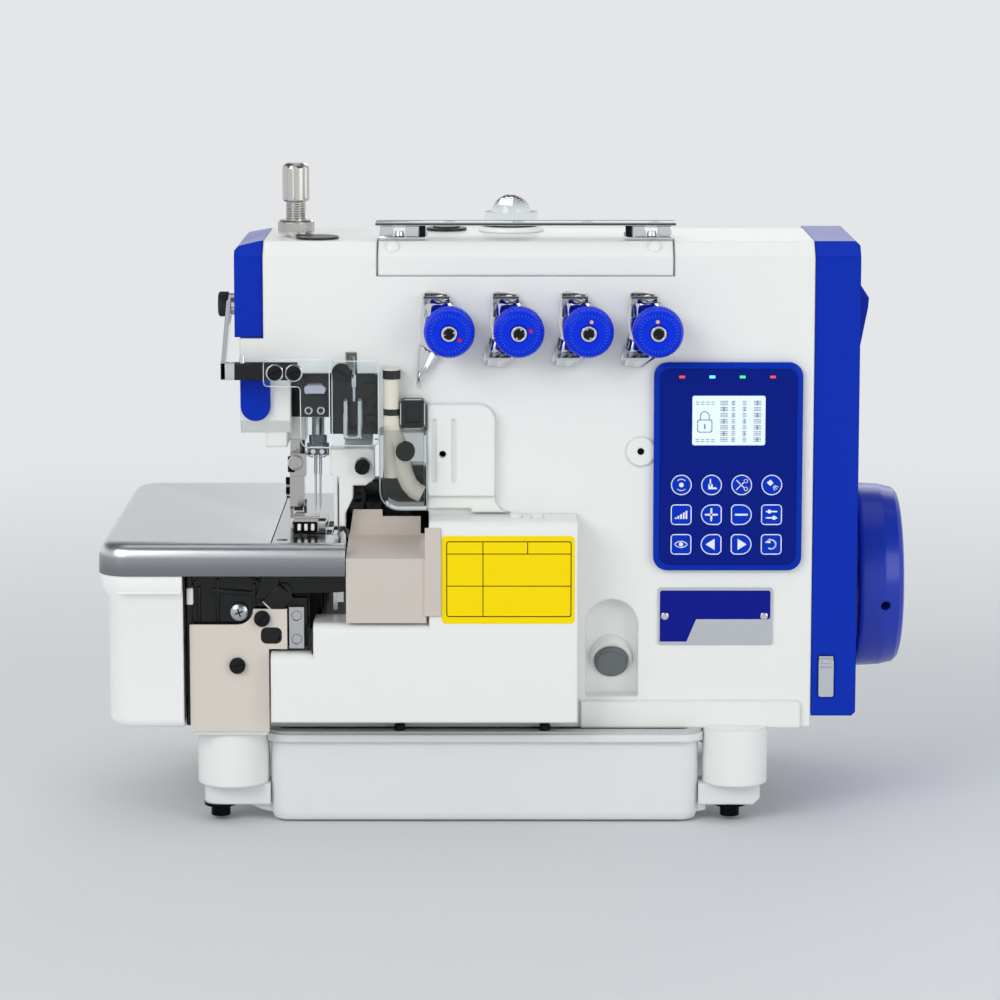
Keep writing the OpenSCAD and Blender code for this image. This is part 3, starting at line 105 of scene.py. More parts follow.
def surface(name, base, settings, tint=None, gloss=None, relief=None, edge_mm=None, wrap=None):
    """A finish on Object coordinates. base is a colour or draws one. tint is a share that a
    noise takes of it, gloss a noise's span and the roughness span it gives, and relief a
    strength and depth; each ends with its noise: scale, detail and any stretch."""
    material = bpy.data.materials.new(name)
    material.use_nodes = True
    tree = material.node_tree
    tree.nodes.clear()
    place = add(tree, "ShaderNodeTexCoord").outputs["Object"]
    settings, links, noises = dict(settings), {}, {}

    def noise(scale, detail, stretch=None):
        key = (scale, detail, stretch)
        if key not in noises:
            at = place
            if stretch:
                at = add(tree, "ShaderNodeMapping", {"Scale": stretch}, {"Vector": at}).outputs[0]
            noises[key] = add(
                tree, "ShaderNodeTexNoise", {"Scale": scale, "Detail": detail}, {"Vector": at}
            ).outputs
        return noises[key]

    if tint:
        share, *pattern = tint
        mix = {"data_type": "RGBA", "blend_type": "MULTIPLY", "Factor": share}
        joins = {7: noise(*pattern)["Color"]}
        if callable(base):
            joins[6] = base(tree, place)
        else:
            mix[6] = colour(base)
        links["Base Color"] = add(tree, "ShaderNodeMix", mix, joins).outputs[2]
    else:
        settings["Base Color"] = colour(base)
    if "Emission Strength" in settings:
        links["Emission Color"] = links["Base Color"]
    if gloss:
        low, high, smooth, rough, *pattern = gloss
        links["Roughness"] = add(
            tree, "ShaderNodeMapRange",
            {"From Min": low, "From Max": high, "To Min": smooth, "To Max": rough},
            {"Value": noise(*pattern)["Fac"]},
        ).outputs["Result"]
    if relief:
        strength, depth, *pattern = relief
        joins = {"Height": noise(*pattern)["Fac"]}
        if edge_mm:
            # rounds the sharp edges of a casting or moulding
            edge = {"samples": 6, "Radius": edge_mm * MM}
            joins["Normal"] = add(tree, "ShaderNodeBevel", edge).outputs["Normal"]
        links["Normal"] = add(
            tree, "ShaderNodeBump", {"Strength": strength, "Distance": depth}, joins
        ).outputs["Normal"]
    shader = add(tree, "ShaderNodeBsdfPrincipled", settings, links).outputs["BSDF"]
    if wrap:
        shader = wrap(tree, place, shader)
    add(tree, "ShaderNodeOutputMaterial", links={"Surface": shader})
    return material


def enamel(name, code, edge_mm=1.6, rough=0.3, peel=0.08, coat=0.2, shine=0.5):
    """Sprayed and baked enamel over a casting: slight orange peel, 1.6 mm from crest to
    crest, faint tone drift and smudges about 30 mm across, so highlights waver a little."""
    return surface(
        name, code,
        {"Coat Weight": coat, "Coat Roughness": 0.12, "IOR": 1.5, "Specular IOR Level": shine},
        tint=(0.012, 9.0, 3.0), gloss=(0.3, 0.7, rough - 0.02, rough + 0.03, 34.0, 4.0),
        relief=(peel, 0.0001, 620.0, 1.0), edge_mm=edge_mm,
    )


def plastic(name, code, rough=0.35, grain_mm=0.7, grain=0.12, edge_mm=0.4, coat=0.0, shine=0.5):
    """Injection-moulded plastic: fine spark-eroded grain and an even sheen."""
    fine = (1 / (grain_mm * MM), 2.0)
    return surface(
        name, code,
        {"Coat Weight": coat, "Coat Roughness": 0.08, "IOR": 1.5, "Specular IOR Level": shine},
        tint=(0.05, *fine), gloss=(0.0, 1.0, rough - 0.04, rough + 0.06, *fine),
        relief=(grain, 0.00008, *fine), edge_mm=edge_mm,
    )


def metal(name, code, rough=0.2, along="X", line_mm=0.35, lines=0.15, edge_mm=0.3, wear=0.06):
    """Bare or plated metal; lines run along one axis, as grinding or brushing leaves them,
    under the faint clouding of handled metal, about 12 mm across."""
    stretch = tuple(25 if axis == along else 1 / (line_mm * MM) for axis in "XYZ")
    streak = (1.0, 3.0, stretch)
    return surface(
        name, code, {"Metallic": 1.0}, tint=(wear, 85.0, 4.0),
        gloss=(0.3, 0.7, max(0.03, rough - 0.06), rough + 0.08, *streak),
        relief=(lines, 0.00005, *streak), edge_mm=edge_mm,
    )


def rolled_plate(name, code, shaded_edge_code):
    """Brushed steel sheet whose rolled edge is painted darker than its flat top, as painted shade
    where the faces turn from upwards.
    """

    def tone(tree, place):
        facing = add(tree, "ShaderNodeNewGeometry").outputs["Normal"]
        up = add(tree, "ShaderNodeSeparateXYZ", links={"Vector": facing}).outputs["Z"]
        # painted shade: the colour darkens as the face turns from upwards
        flat = add(
            tree, "ShaderNodeMapRange",
            {"interpolation_type": "SMOOTHSTEP", "From Min": 0.02, "From Max": 0.4},
            {"Value": up},
        )
        return add(
            tree, "ShaderNodeMix", {"data_type": "RGBA", 6: colour(shaded_edge_code), 7: colour(code)},
            {"Factor": flat.outputs["Result"]},
        ).outputs[2]

    streak = (1.0, 3.0, (30, 1500, 1500))
    return surface(
        name, tone, {"Metallic": 1.0}, tint=(0.03, *streak),
        gloss=(0.3, 0.7, 0.27, 0.31, *streak), relief=(0.04, 0.00003, *streak), edge_mm=0.6,
    )


def film(name):
    """Printed polyester film: navy ground, brighter keys where the film is domed forwards."""

    def tone(tree, place):
        depth = add(tree, "ShaderNodeSeparateXYZ", links={"Vector": place}).outputs["Y"]
        domed = (box_mm("keypad")[0].y + 0.3) * MM
        raised = add(tree, "ShaderNodeMath", {"operation": "LESS_THAN", 1: domed}, {0: depth})
        return add(
            tree, "ShaderNodeMix",
            {"data_type": "RGBA", 6: colour("#001c86"), 7: colour("#0034c4")},
            {"Factor": raised.outputs[0]},
        ).outputs[2]

    grain = (1500.0, 2.0)
    return surface(
        name, tone, {"Roughness": 0.32, "IOR": 1.5, "Specular IOR Level": 0.1},
        tint=(0.12, *grain), relief=(0.08, 0.00005, *grain), edge_mm=0.3,
    )


def clear(name, code, rough=0.02, ior=1.49):
    """Clear moulded acrylic: smooth, with the slightest waviness from the mould."""

    def pass_light(tree, place, bsdf):
        thin = add(tree, "ShaderNodeBsdfTransparent", {"Color": colour("#f2f4f4")}).outputs[0]
        shadow = add(tree, "ShaderNodeLightPath").outputs["Is Shadow Ray"]
        return add(
            tree, "ShaderNodeMixShader", links={0: shadow, 1: bsdf, 2: thin}
        ).outputs[0]

    return surface(
        name, code, {"Roughness": rough, "IOR": ior, "Transmission Weight": 1.0},
        relief=(0.06, 0.0002, 120.0, 1.0), wrap=pass_light,
    )


def lit(name, code, strength):
    """A small lamp lens or backlit glass that glows evenly, with a faint mottle."""
    return surface(
        name, code, {"Roughness": 0.2, "Emission Strength": strength}, tint=(0.08, 900.0, 1.0)
    )


def print_ink(name, code, rough=0.4):
    """Screen-printed ink: flat, even, with a trace of mesh grain."""
    return plastic(name, code, rough=rough, grain_mm=0.5, grain=0.04, edge_mm=0.02, shine=0.12)


def seen_directly(tree):
    """1 for rays that the eye, a reflection or clear plastic follows to the backdrop."""
    path = add(tree, "ShaderNodeLightPath").outputs
    seen = path["Is Camera Ray"]
    for kind in ("Is Glossy Ray", "Is Transmission Ray"):
        links = {0: seen, 1: path[kind]}
        seen = add(tree, "ShaderNodeMath", {"operation": "MAXIMUM"}, links).outputs[0]
    return seen


# ---- Settings ----


class OverlockFinishes(bpy.types.PropertyGroup):
    """Colours of the machine's finishes."""

    body: FloatVectorProperty(
        name="Body enamel", description="Warm white enamel of the head and covers",
        subtype="COLOR_GAMMA", size=3, min=0, max=1, default=(0.935, 0.937, 0.922),
    )
    accent: FloatVectorProperty(
        name="Accent blue", description="Cobalt blue of the motor side and panel",
        subtype="COLOR_GAMMA", size=3, min=0, max=1, default=(0.0, 0.18, 0.69),
    )
    knob: FloatVectorProperty(
        name="Knob blue", description="Brighter blue of the tension knobs",
        subtype="COLOR_GAMMA", size=3, min=0, max=1, default=(0.0, 0.19, 0.87),
    )
    sheet: FloatVectorProperty(
        name="Sheet beige", description="Satin beige of the folded guards",
        subtype="COLOR_GAMMA", size=3, min=0, max=1, default=(0.85, 0.815, 0.775),
    )
    field: FloatVectorProperty(
        name="Label yellow", description="Plain yellow field on the front cover",
        subtype="COLOR_GAMMA", size=3, min=0, max=1, default=(1.0, 0.88, 0.0),
    )


class OverlockSizes(bpy.types.PropertyGroup):
    """Sizes of the small parts that the finishing adds."""

    edge: FloatProperty(
        name="Edge softening", description="Radius that rounds the painted castings' edges",
        subtype="DISTANCE", unit="LENGTH", min=0.0001, max=0.003, default=0.0018,
    )
    print_line: FloatProperty(
        name="Printed line", description="Width of the lines printed on the keys",
        subtype="DISTANCE", unit="LENGTH", min=0.0002, max=0.001, default=0.0005,
    )
    teeth: IntProperty(
        name="Knob teeth", description="Teeth round each tension knob's rim",
        min=24, max=96, default=56,
    )


MATERIALS = {}


def make_finishes(finishes, sizes):
    """Every finish of the machine, by name."""
    body, accent = to_hex(finishes.body), to_hex(finishes.accent)
    knob, sheet, field = map(to_hex, (finishes.knob, finishes.sheet, finishes.field))
    MATERIALS.update(
        # baked enamel and moulded white: clean, with soft wavering highlights
        white_enamel=enamel("white_enamel", body, edge_mm=sizes.edge / MM),
        white_plastic=plastic("white_abs", "#fbfaf8", rough=0.32, grain=0.05, edge_mm=1.2),
        # duller paint with a pebbled skin on the cast pan, over fibrous board
        pan_paint=enamel(
            "pan_paint_on_cast_aluminium", "#e5e6e6", rough=0.42, peel=0.25, coat=0.05
        ),
        gasket_rubber=plastic("grey_gasket_board", "#c3c6c8", rough=0.6),
        # fasteners: oil-black steel, and pale zinc with fine turning lines
        black_oxide=metal("black_oxide_steel", "#17181a", rough=0.26, edge_mm=0.25),
        zinc_steel=metal("zinc_plated_steel", "#b9bdc2", rough=0.25, along="Y"),
        # satin enamel on folded sheet, which hides its bends, and a darker copy on the chip guard
        # as painted shade
        sheet_enamel=enamel("beige_enamel_on_sheet", sheet, edge_mm=0.4, rough=0.4),
        guard_enamel=enamel("beige_enamel_painted_shade_on_guard", "#cfc5bc", edge_mm=0.6, rough=0.4),
        # straight brushed lines that draw highlights out, and painted shade on the cloth plate's
        # rolled edge
        brushed_plate=rolled_plate("brushed_cloth_plate_steel", "#eff1f3", "#7f8286"),
        # working steel with grinding lines, and chrome that mirrors
        polished_steel=metal("polished_steel", "#c6c8ca", rough=0.16, along="Z"),
        tool_steel=metal("ground_tool_steel", "#85878b", rough=0.28, along="Z"),
        bright_chrome=metal("bright_chrome", "#d9dbde", rough=0.08, lines=0.04, wear=0.03),
        # glossy blues, their sheen kept low so that the colour stays deep, and a lighter blue on
        # the knob pips as painted highlight
        blue_enamel=enamel(
            "cobalt_gloss_enamel", accent, rough=0.2, peel=0.04, coat=0.0, edge_mm=1.8, shine=0.14
        ),
        blue_plastic=plastic("cobalt_abs", accent, rough=0.24, grain=0.04, edge_mm=0.8, shine=0.12),
        panel_plastic=plastic(
            "navy_abs", "#0030ae", rough=0.26, grain=0.04, edge_mm=0.6, shine=0.1
        ),
        knob_plastic=plastic("bright_blue_nylon", knob, rough=0.25, grain=0.05, shine=0.12),
        knob_pips=plastic("knob_pip_painted_highlight", "#2f66e6", rough=0.3, grain=0.03, shine=0.2),
        # blackened, polished, nickelled and dark plated small parts, and a chrome rail painted dark
        # as painted reflection
        black_screw=plastic("blackened_screw", "#17181a", rough=0.42, grain=0.05, shine=0.15),
        presser_steel=metal("polished_presser_steel", "#bab9b6", rough=0.13, lines=0.08, along="Z"),
        nickel=metal("satin_nickel", "#d0cdc8", rough=0.2, lines=0.1, along="Z", edge_mm=0.4),
        dark_mirror=metal("chrome_rail_painted_dark_reflection", "#4d5055", rough=0.08, lines=0.03, wear=0.02),
        dark_chrome=metal("dark_chrome", "#6d7076", rough=0.1, lines=0.04, along="Z"),
        black_enamel=enamel(
            "black_gloss_enamel", "#0b0c0d", rough=0.16, edge_mm=0.8, coat=0.0, shine=0.35
        ),
        # clear guards with painted highlights along their edges, matt nylons, painted shade at the
        # bottoms of holes, and copper
        acrylic_edge=plastic("polished_acrylic_edge", "#eef6f9", rough=0.15, grain=0.02, coat=0.5),
        lilac_plastic=plastic("lilac_white_nylon", "#dcd9ea", rough=0.35),
        # painted shade: near-black for the bottoms of holes
        dark_void=plastic("painted_shade_in_holes", "#08090a", rough=0.8, shine=0.1),
        clear_acrylic=clear("clear_acrylic", "#f4fafc", ior=1.3),
        smoked=clear("smoked_polycarbonate", "#dfe2e2", rough=0.03, ior=1.3),
        cream_plastic=plastic("cream_pom", "#e4dfd0", rough=0.4),
        black_plastic=plastic("black_nylon", "#141517", rough=0.35),
        copper=metal("enamelled_copper_winding", "#a8642f", rough=0.35, line_mm=1.2, lines=0.5),
        # printed film, matt greys, the handwheel's softer gloss and the oil glass
        film=film("printed_polyester_film"),
        grey_plastic=plastic("grey_abs", "#6f7577", rough=0.4),
        wheel_enamel=enamel(
            "cobalt_wheel_enamel", accent, rough=0.3, peel=0.04, coat=0.25, shine=0.4
        ),
        glass_dome=clear("sight_glass_acrylic", "#eef4f6", ior=1.49),
        port_plastic=plastic("light_grey_abs", "#b9bfc5", rough=0.4),
        # flat inks and vinyl that take no highlight, and the anodised plate under them
        white_ink=print_ink("white_ink", "#eef2fb"),
        navy_ink=print_ink("navy_ink", "#08158c"),
        silver_ink=metal("anodised_plate", "#d4d7dc", rough=0.3, lines=0.2, edge_mm=0.1),
        yellow_ink=print_ink("yellow_vinyl", field),
        black_ink=print_ink("black_ink", "#14140f"),
        grey_ink=print_ink("display_segment_grey", "#93a0ae"),
        # lamps and a display that glow faintly in daylight
        display=lit("backlit_display", "#dcebf5", 0.28),
        lamp_red=lit("red_lamp", "#e8402a", 0.7),
        lamp_cyan=lit("cyan_lamp", "#6df2ff", 1.2),
        lamp_green=lit("green_lamp", "#3fe07a", 1.0),
        red_ink=print_ink("red_mark", "#d8201c"),
        mark_orange=print_ink("orange_mark", "#f0b27a"),
    )


# CAD nodes by finish
FINISHED_NODES = {
    "white_enamel": "machine_frame top_cover rear_cover front_cover upper_knife_arm",
    "pan_paint": "oil_pan connecting_rod",
    "gasket_rubber": "pan_gasket",
    "black_oxide": "mounting_bolts feed_bar guard_arm",
    "zinc_steel": "cover_screws hinge_pins",
    "guard_enamel": "chip_guard",
    "sheet_enamel": "bed_side_plate",
    "brushed_plate": "cloth_plate",
    "white_plastic": "side_cover",
    "polished_steel": "throat_plate feed_dog lower_knife upper_looper lower_looper main_shaft"
    " shaft_bearings rocker_shaft motor_rotor tension_posts",
    "black_enamel": "plate_bracket",
    "tool_steel": "upper_knife",
    "presser_steel": "presser_bar presser_foot",
    "nickel": "regulator_screw regulator_nut",
    "bright_chrome": "needle_bar needles thread_take_up tension_plates",
    "dark_chrome": "needle_clamp",
    "blue_enamel": "face_cover motor_cover",
    "blue_plastic": "lamp_housing",
    "clear_acrylic": "eye_guard finger_guard",
    "cream_plastic": "suction_pipe",
    "smoked": "suction_chute",
    "black_plastic": "nozzle_block top_plugs",
    "copper": "motor_stator",
    "wheel_enamel": "handwheel",
    "panel_plastic": "control_panel",
    "film": "keypad",
    "silver_ink": "nameplate",
    "port_plastic": "usb_flap",
    "grey_plastic": "stitch_length_button",
    "knob_plastic": "tension_knob_1 tension_knob_2 tension_knob_3 tension_knob_4",
    "glass_dome": "sight_glass",
    "dark_mirror": "thread_rail",
}


# ---- Shapes, in millimetres ----


def soften(bm, verts, offset):
    """Bevels the edges that meet at verts."""
    edges = list({e for v in verts for e in v.link_edges})
    bmesh.ops.bevel(
        bm, geom=edges, offset=offset, segments=2, profile=0.5, affect="EDGES", material=-1
    )


def block(bm, lo, hi, bevel=0.0):
    """A block between two corners, its edges bevelled."""
    made = bmesh.ops.create_cube(bm, size=1.0)["verts"]
    bmesh.ops.scale(bm, vec=Vector(hi) - Vector(lo), verts=made)
    bmesh.ops.translate(bm, vec=(Vector(lo) + Vector(hi)) / 2, verts=made)
    if bevel:
        soften(bm, made, bevel)


def rod(bm, start, end, radius, sides=24, tip=None):
    """A closed rod between two points; tip is its far radius."""
    start, end = Vector(start), Vector(end)
    way = end - start
    turn = way.to_track_quat("Z", "Y").to_matrix().to_4x4()
    bmesh.ops.create_cone(
        bm, cap_ends=True, segments=sides, radius1=radius,
        radius2=radius if tip is None else tip, depth=way.length,
        matrix=Matrix.Translation((start + end) / 2) @ turn,
    )


def turned(bm, profile, place, steps=48):
    """A profile of (radius, height) points spun round Z and then put in place."""
    points = [bm.verts.new((max(r, 0.0), 0, h)) for r, h in profile]
    edges = [bm.edges.new(pair) for pair in zip(points, points[1:])]
    spun = bmesh.ops.spin(
        bm, geom=points + edges, cent=(0, 0, 0), axis=(0, 0, 1), angle=2 * math.pi,
        steps=steps, use_merge=True,
    )
    grown = set(points) | {g for g in spun["geom_last"] if isinstance(g, bmesh.types.BMVert)}
    border = list(grown)
    while border:
        vert = border.pop()
        fresh = [e.other_vert(vert) for e in vert.link_edges if e.other_vert(vert) not in grown]
        grown.update(fresh)
        border += fresh
    kept = list(grown)
    bmesh.ops.remove_doubles(bm, verts=kept, dist=0.0005)
    kept = [v for v in kept if v.is_valid]
    bmesh.ops.recalc_face_normals(bm, faces=list({f for v in kept for f in v.link_faces}))
    bmesh.ops.transform(bm, matrix=place, verts=kept)
    return kept


def knurl(verts, steps, bands):
    """Moves every second step of a turned rim outwards; bands are (least radius, height)."""
    for v in verts:
        radius = math.hypot(v.co.x, v.co.y)
        height = next((h for least, h in bands if radius > least), 0)
        if height and round(math.atan2(v.co.y, v.co.x) / (math.tau / steps)) % 2:
            v.co.x *= (radius + height) / radius
            v.co.y *= (radius + height) / radius


def facing_front(x, y, z):
    """Place of something drawn along +Z that should point at the operator (-Y)."""
    return Matrix.Translation((x, y, z)) @ Matrix.Rotation(math.radians(90), 4, "X")


def line(bm, points, width, y, thick=0.06, closed=False):
    """A printed line through (x, z) points on the plane y, with round joints."""
    for a, b in zip(points, points[1:] + (points[:1] if closed else [])):
        a, b = Vector((a[0], y, a[1])), Vector((b[0], y, b[1]))
        way = b - a
        if way.length < 1e-6:
            continue
        made = bmesh.ops.create_cube(bm, size=1.0)["verts"]
        bmesh.ops.scale(bm, vec=(way.length, thick, width), verts=made)
        turn = Matrix.Rotation(-math.atan2(way.z, way.x), 4, "Y")
        bmesh.ops.transform(bm, matrix=Matrix.Translation((a + b) / 2) @ turn, verts=made)
    for x, z in points:
        rod(bm, (x, y - thick / 2, z), (x, y + thick / 2, z), width / 2, 10)


def prism(bm, corners, way):
    """A face through corners, drawn out along way; gives the far corners."""
    near = [bm.verts.new(p) for p in corners]
    pulled = bmesh.ops.extrude_face_region(bm, geom=[bm.faces.new(near)])["geom"]
    far = [g for g in pulled if isinstance(g, bmesh.types.BMVert)]
    bmesh.ops.translate(bm, vec=way, verts=far)
    bmesh.ops.recalc_face_normals(bm, faces=list({f for v in far + near for f in v.link_faces}))
    return far


def plate(bm, points, y0, y1, bevel=0.0):
    """A plate bounded by (x, z) points between two depths, its front edges bevelled."""
    front = prism(bm, [(x, y1, z) for x, z in points], (0, y0 - y1, 0))
    if bevel:
        soften(bm, front, bevel)


def patch(bm, points, y, thick=0.06):
    """A printed patch bounded by (x, z) points on the plane y."""
    plate(bm, points, y - thick / 2, y + thick / 2)


def slotted(bm, x, z, face, radius, height, turn=35.0, slot=0.9):
    """A slotted screw head that faces the operator; face is its front's depth."""
    half = math.degrees(math.asin(slot / 2 / radius))
    for start in (turn + half, turn + 180 + half):
        points = arc(x, z, radius, start, start + 180 - 2 * half, 14)
        plate(bm, points, face, face + height * 0.3, 0.16)
    rod(bm, (x, face + height * 0.25, z), (x, face + height, z), radius, 32)


def tube(bm, points, radius, sides=20):
    """A round tube along points, closed at both ends."""
    path = [Vector(p) for p in points]
    rings = []
    for i, p in enumerate(path):
        way = (path[min(i + 1, len(path) - 1)] - path[max(i - 1, 0)]).normalized()
        side = way.cross(Vector((0, 1, 0)))
        side = (side if side.length > 0.01 else Vector((1, 0, 0))).normalized()
        up = way.cross(side).normalized()
        rings.append([
            bm.verts.new(p + radius * (math.cos(a) * side + math.sin(a) * up))
            for a in (math.tau * k / sides for k in range(sides))
        ])
    made = [bm.faces.new((one[k - 1], one[k], two[k], two[k - 1]))
            for one, two in zip(rings, rings[1:]) for k in range(sides)]
    made += [bm.faces.new(rings[0]), bm.faces.new(rings[-1])]
    bmesh.ops.recalc_face_normals(bm, faces=made)


def arc(cx, cz, radius, start, end, count=16):
    """Points on an arc in the (x, z) plane; angles in degrees."""
    angles = (math.radians(start + (end - start) * i / count) for i in range(count + 1))
    return [(cx + radius * math.cos(a), cz + radius * math.sin(a)) for a in angles]


def round_box(x0, z0, x1, z1, r, count=5):
    """Corner-rounded rectangle in the (x, z) plane."""
    corners = ((x1 - r, z1 - r), (x0 + r, z1 - r), (x0 + r, z0 + r), (x1 - r, z0 + r))
    return [p for k, (x, z) in enumerate(corners) for p in arc(x, z, r, 90 * k, 90 * k + 90, count)]


def ring(*profile):
    """A turned profile closed on itself."""
    return [*profile, profile[0]]


# ---- Pieces ----


def finish_piece(name, bm, finish, node, angle=35.0):
    """Turns a bmesh drawn in millimetres into a piece with a CAD node's body."""
    bmesh.ops.scale(bm, vec=(MM, MM, MM), verts=bm.verts)
    limit = math.radians(angle)
    for edge in bm.edges:
        edge.smooth = len(edge.link_faces) == 2 and edge.calc_face_angle(0.0) < limit
    for face in bm.faces:
        face.smooth = True
    mesh = bpy.data.meshes.new(name)
    bm.to_mesh(mesh)
    bm.free()
    mesh.materials.append(MATERIALS[finish])
    piece = bpy.data.objects.new(name, mesh)
    bpy.context.scene.collection.objects.link(piece)
    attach(piece, BODY_OF[node])
    return piece


def make(name, finish, node, *shapes, replaces=False):
    """Draws a piece from shapes, each a function and its arguments after the bmesh."""
    bm = bmesh.new()
    for draw, *values in shapes:
        draw(bm, *values)
    piece = finish_piece(name, bm, finish, node)
    if replaces:
        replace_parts(piece, node)


def smooth_copy(node, name, finish, angle=42.0, ease=None):
    """A smooth-shaded copy of a moulded or pressed part, in the CAD part's place."""
    bm = bmesh.new()
    bm.from_mesh(NODES[node].data)
    bmesh.ops.scale(bm, vec=(1 / MM, 1 / MM, 1 / MM), verts=bm.verts)
    bmesh.ops.remove_doubles(bm, verts=bm.verts, dist=0.002)
    for v in bm.verts if ease else ():
        ease(v.co)
    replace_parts(finish_piece(name, bm, finish, node, angle), node)


# ---- Operators ----


class OVERLOCK_OT_finishes(bpy.types.Operator):
    """Give every part of the machine its finish"""

    bl_idname = "overlock.finishes"
    bl_label = "Finishes"

    def execute(self, context):
        make_finishes(context.scene.overlock_finishes, context.scene.overlock_sizes)
        finish_of = {n: f for f, names in FINISHED_NODES.items() for n in names.split()}
        missing = sorted(set(NODES) - set(finish_of))
        if missing:
            raise RuntimeError(f"no finish for {missing}")
        for name, finish in finish_of.items():
            slots = NODES[name].data.materials
            slots.clear()
            slots.append(MATERIALS[finish])
        return {"FINISHED"}


# Outlines of the keys: round in the first row, then by column
ROUND_KEY = arc(0, 0, 5, 0, 345, 23)
SQUARE_KEY = round_box(-5, -5, 5, 5, 1.6, 3)
KEY_OUTLINES = (
    SQUARE_KEY,
    arc(0, 0, 5, 90, 270, 12) + [(3.6, -5), (5, -3.6), (5, 3.6), (3.6, 5)],
    arc(0, 0, 5, -90, 90, 12) + [(-3.6, 5), (-5, 3.6), (-5, -3.6), (-3.6, -5)],
    SQUARE_KEY,
)
BAR = [(-2.9, 0), (2.9, 0)]
RAYS = [(math.cos(math.radians(a)), math.sin(math.radians(a))) for a in (-20, -45, -70)]
# Strokes of the keys' signs, row by row: a share of the line's width and (x, z) points, then
# True for a closed line; a share of 0 is a filled patch, then any height above the print
KEY_SIGNS = (
    # mode: two arcs and a dot
    ((1, arc(0, 0, 2.9, 50, 130, 6)), (1, arc(0, 0, 2.9, 230, 310, 6)),
     (0, arc(0, 0, 1.2, 0, 330, 11))),
    # presser foot
    ((1.5, [(-0.6, 2.8), (-0.6, -0.6)]),
     (0, [(-1.6, -1.2), (2.4, -1.2), (2.9, -2.2), (-1.6, -2.2)]),
     (0, [(-1.6, 0.4), (0.6, 0.4), (0.6, -1.2), (-1.6, -1.2)])),
    # trimming shears
    ((1, [(-2.6, 2.4), (1.4, -1.6)]), (1, [(-2.6, -2.4), (1.4, 1.6)]),
     (0.8, arc(2.1, 2.0, 0.9, 0, 320, 9), True), (0.8, arc(2.1, -2.0, 0.9, 0, 320, 9), True)),
    # work light
    ((0, [(-2.6, 1.2), (-0.6, 2.8), (0.8, 0.9), (-0.8, -0.5)]),
     *((0.8, [(0.4 + c, s), (0.4 + 3 * c, 3 * s)]) for c, s in RAYS)),
    # speed steps
    tuple(
        (0, [(x, -2.2), (x + 0.9, -2.2), (x + 0.9, -1.3 + rise), (x, -1.6 + rise)])
        for x, rise in ((-3.2 + i * 1.35, i * 0.85) for i in range(5))
    ),
    ((1.95, BAR), (1.95, [(0, -2.9), (0, 2.9)])),
    ((1.95, BAR),),
    # settings: two bars, each with a bead
    ((1.5, [(-2.6, 1.6), (2.6, 1.6)]), (1.5, [(-2.6, -1.6), (2.6, -1.6)]),
     (0, round_box(-1.9, 0.6, -0.3, 2.6, 0.5, 3), 0.01),
     (0, round_box(0.5, -2.6, 2.1, -0.6, 0.5, 3), 0.01)),
    # eye
    ((1, arc(0, -2.4, 4.0, 38, 142, 9)), (1, arc(0, 2.4, 4.0, 218, 322, 9)),
     (0, arc(0, 0, 1.1, 0, 330, 11))),
    ((0, [(-2.8, 0), (1.8, 2.9), (1.8, -2.9)]),),
    ((0, [(2.8, 0), (-1.8, -2.9), (-1.8, 2.9)]),),
    # turn back
    ((1.5, arc(0, 0, 2.3, -120, 130, 12)), (0, [(-3.2, 0.9), (-0.6, 3.2), (-0.4, 0.6)])),
)


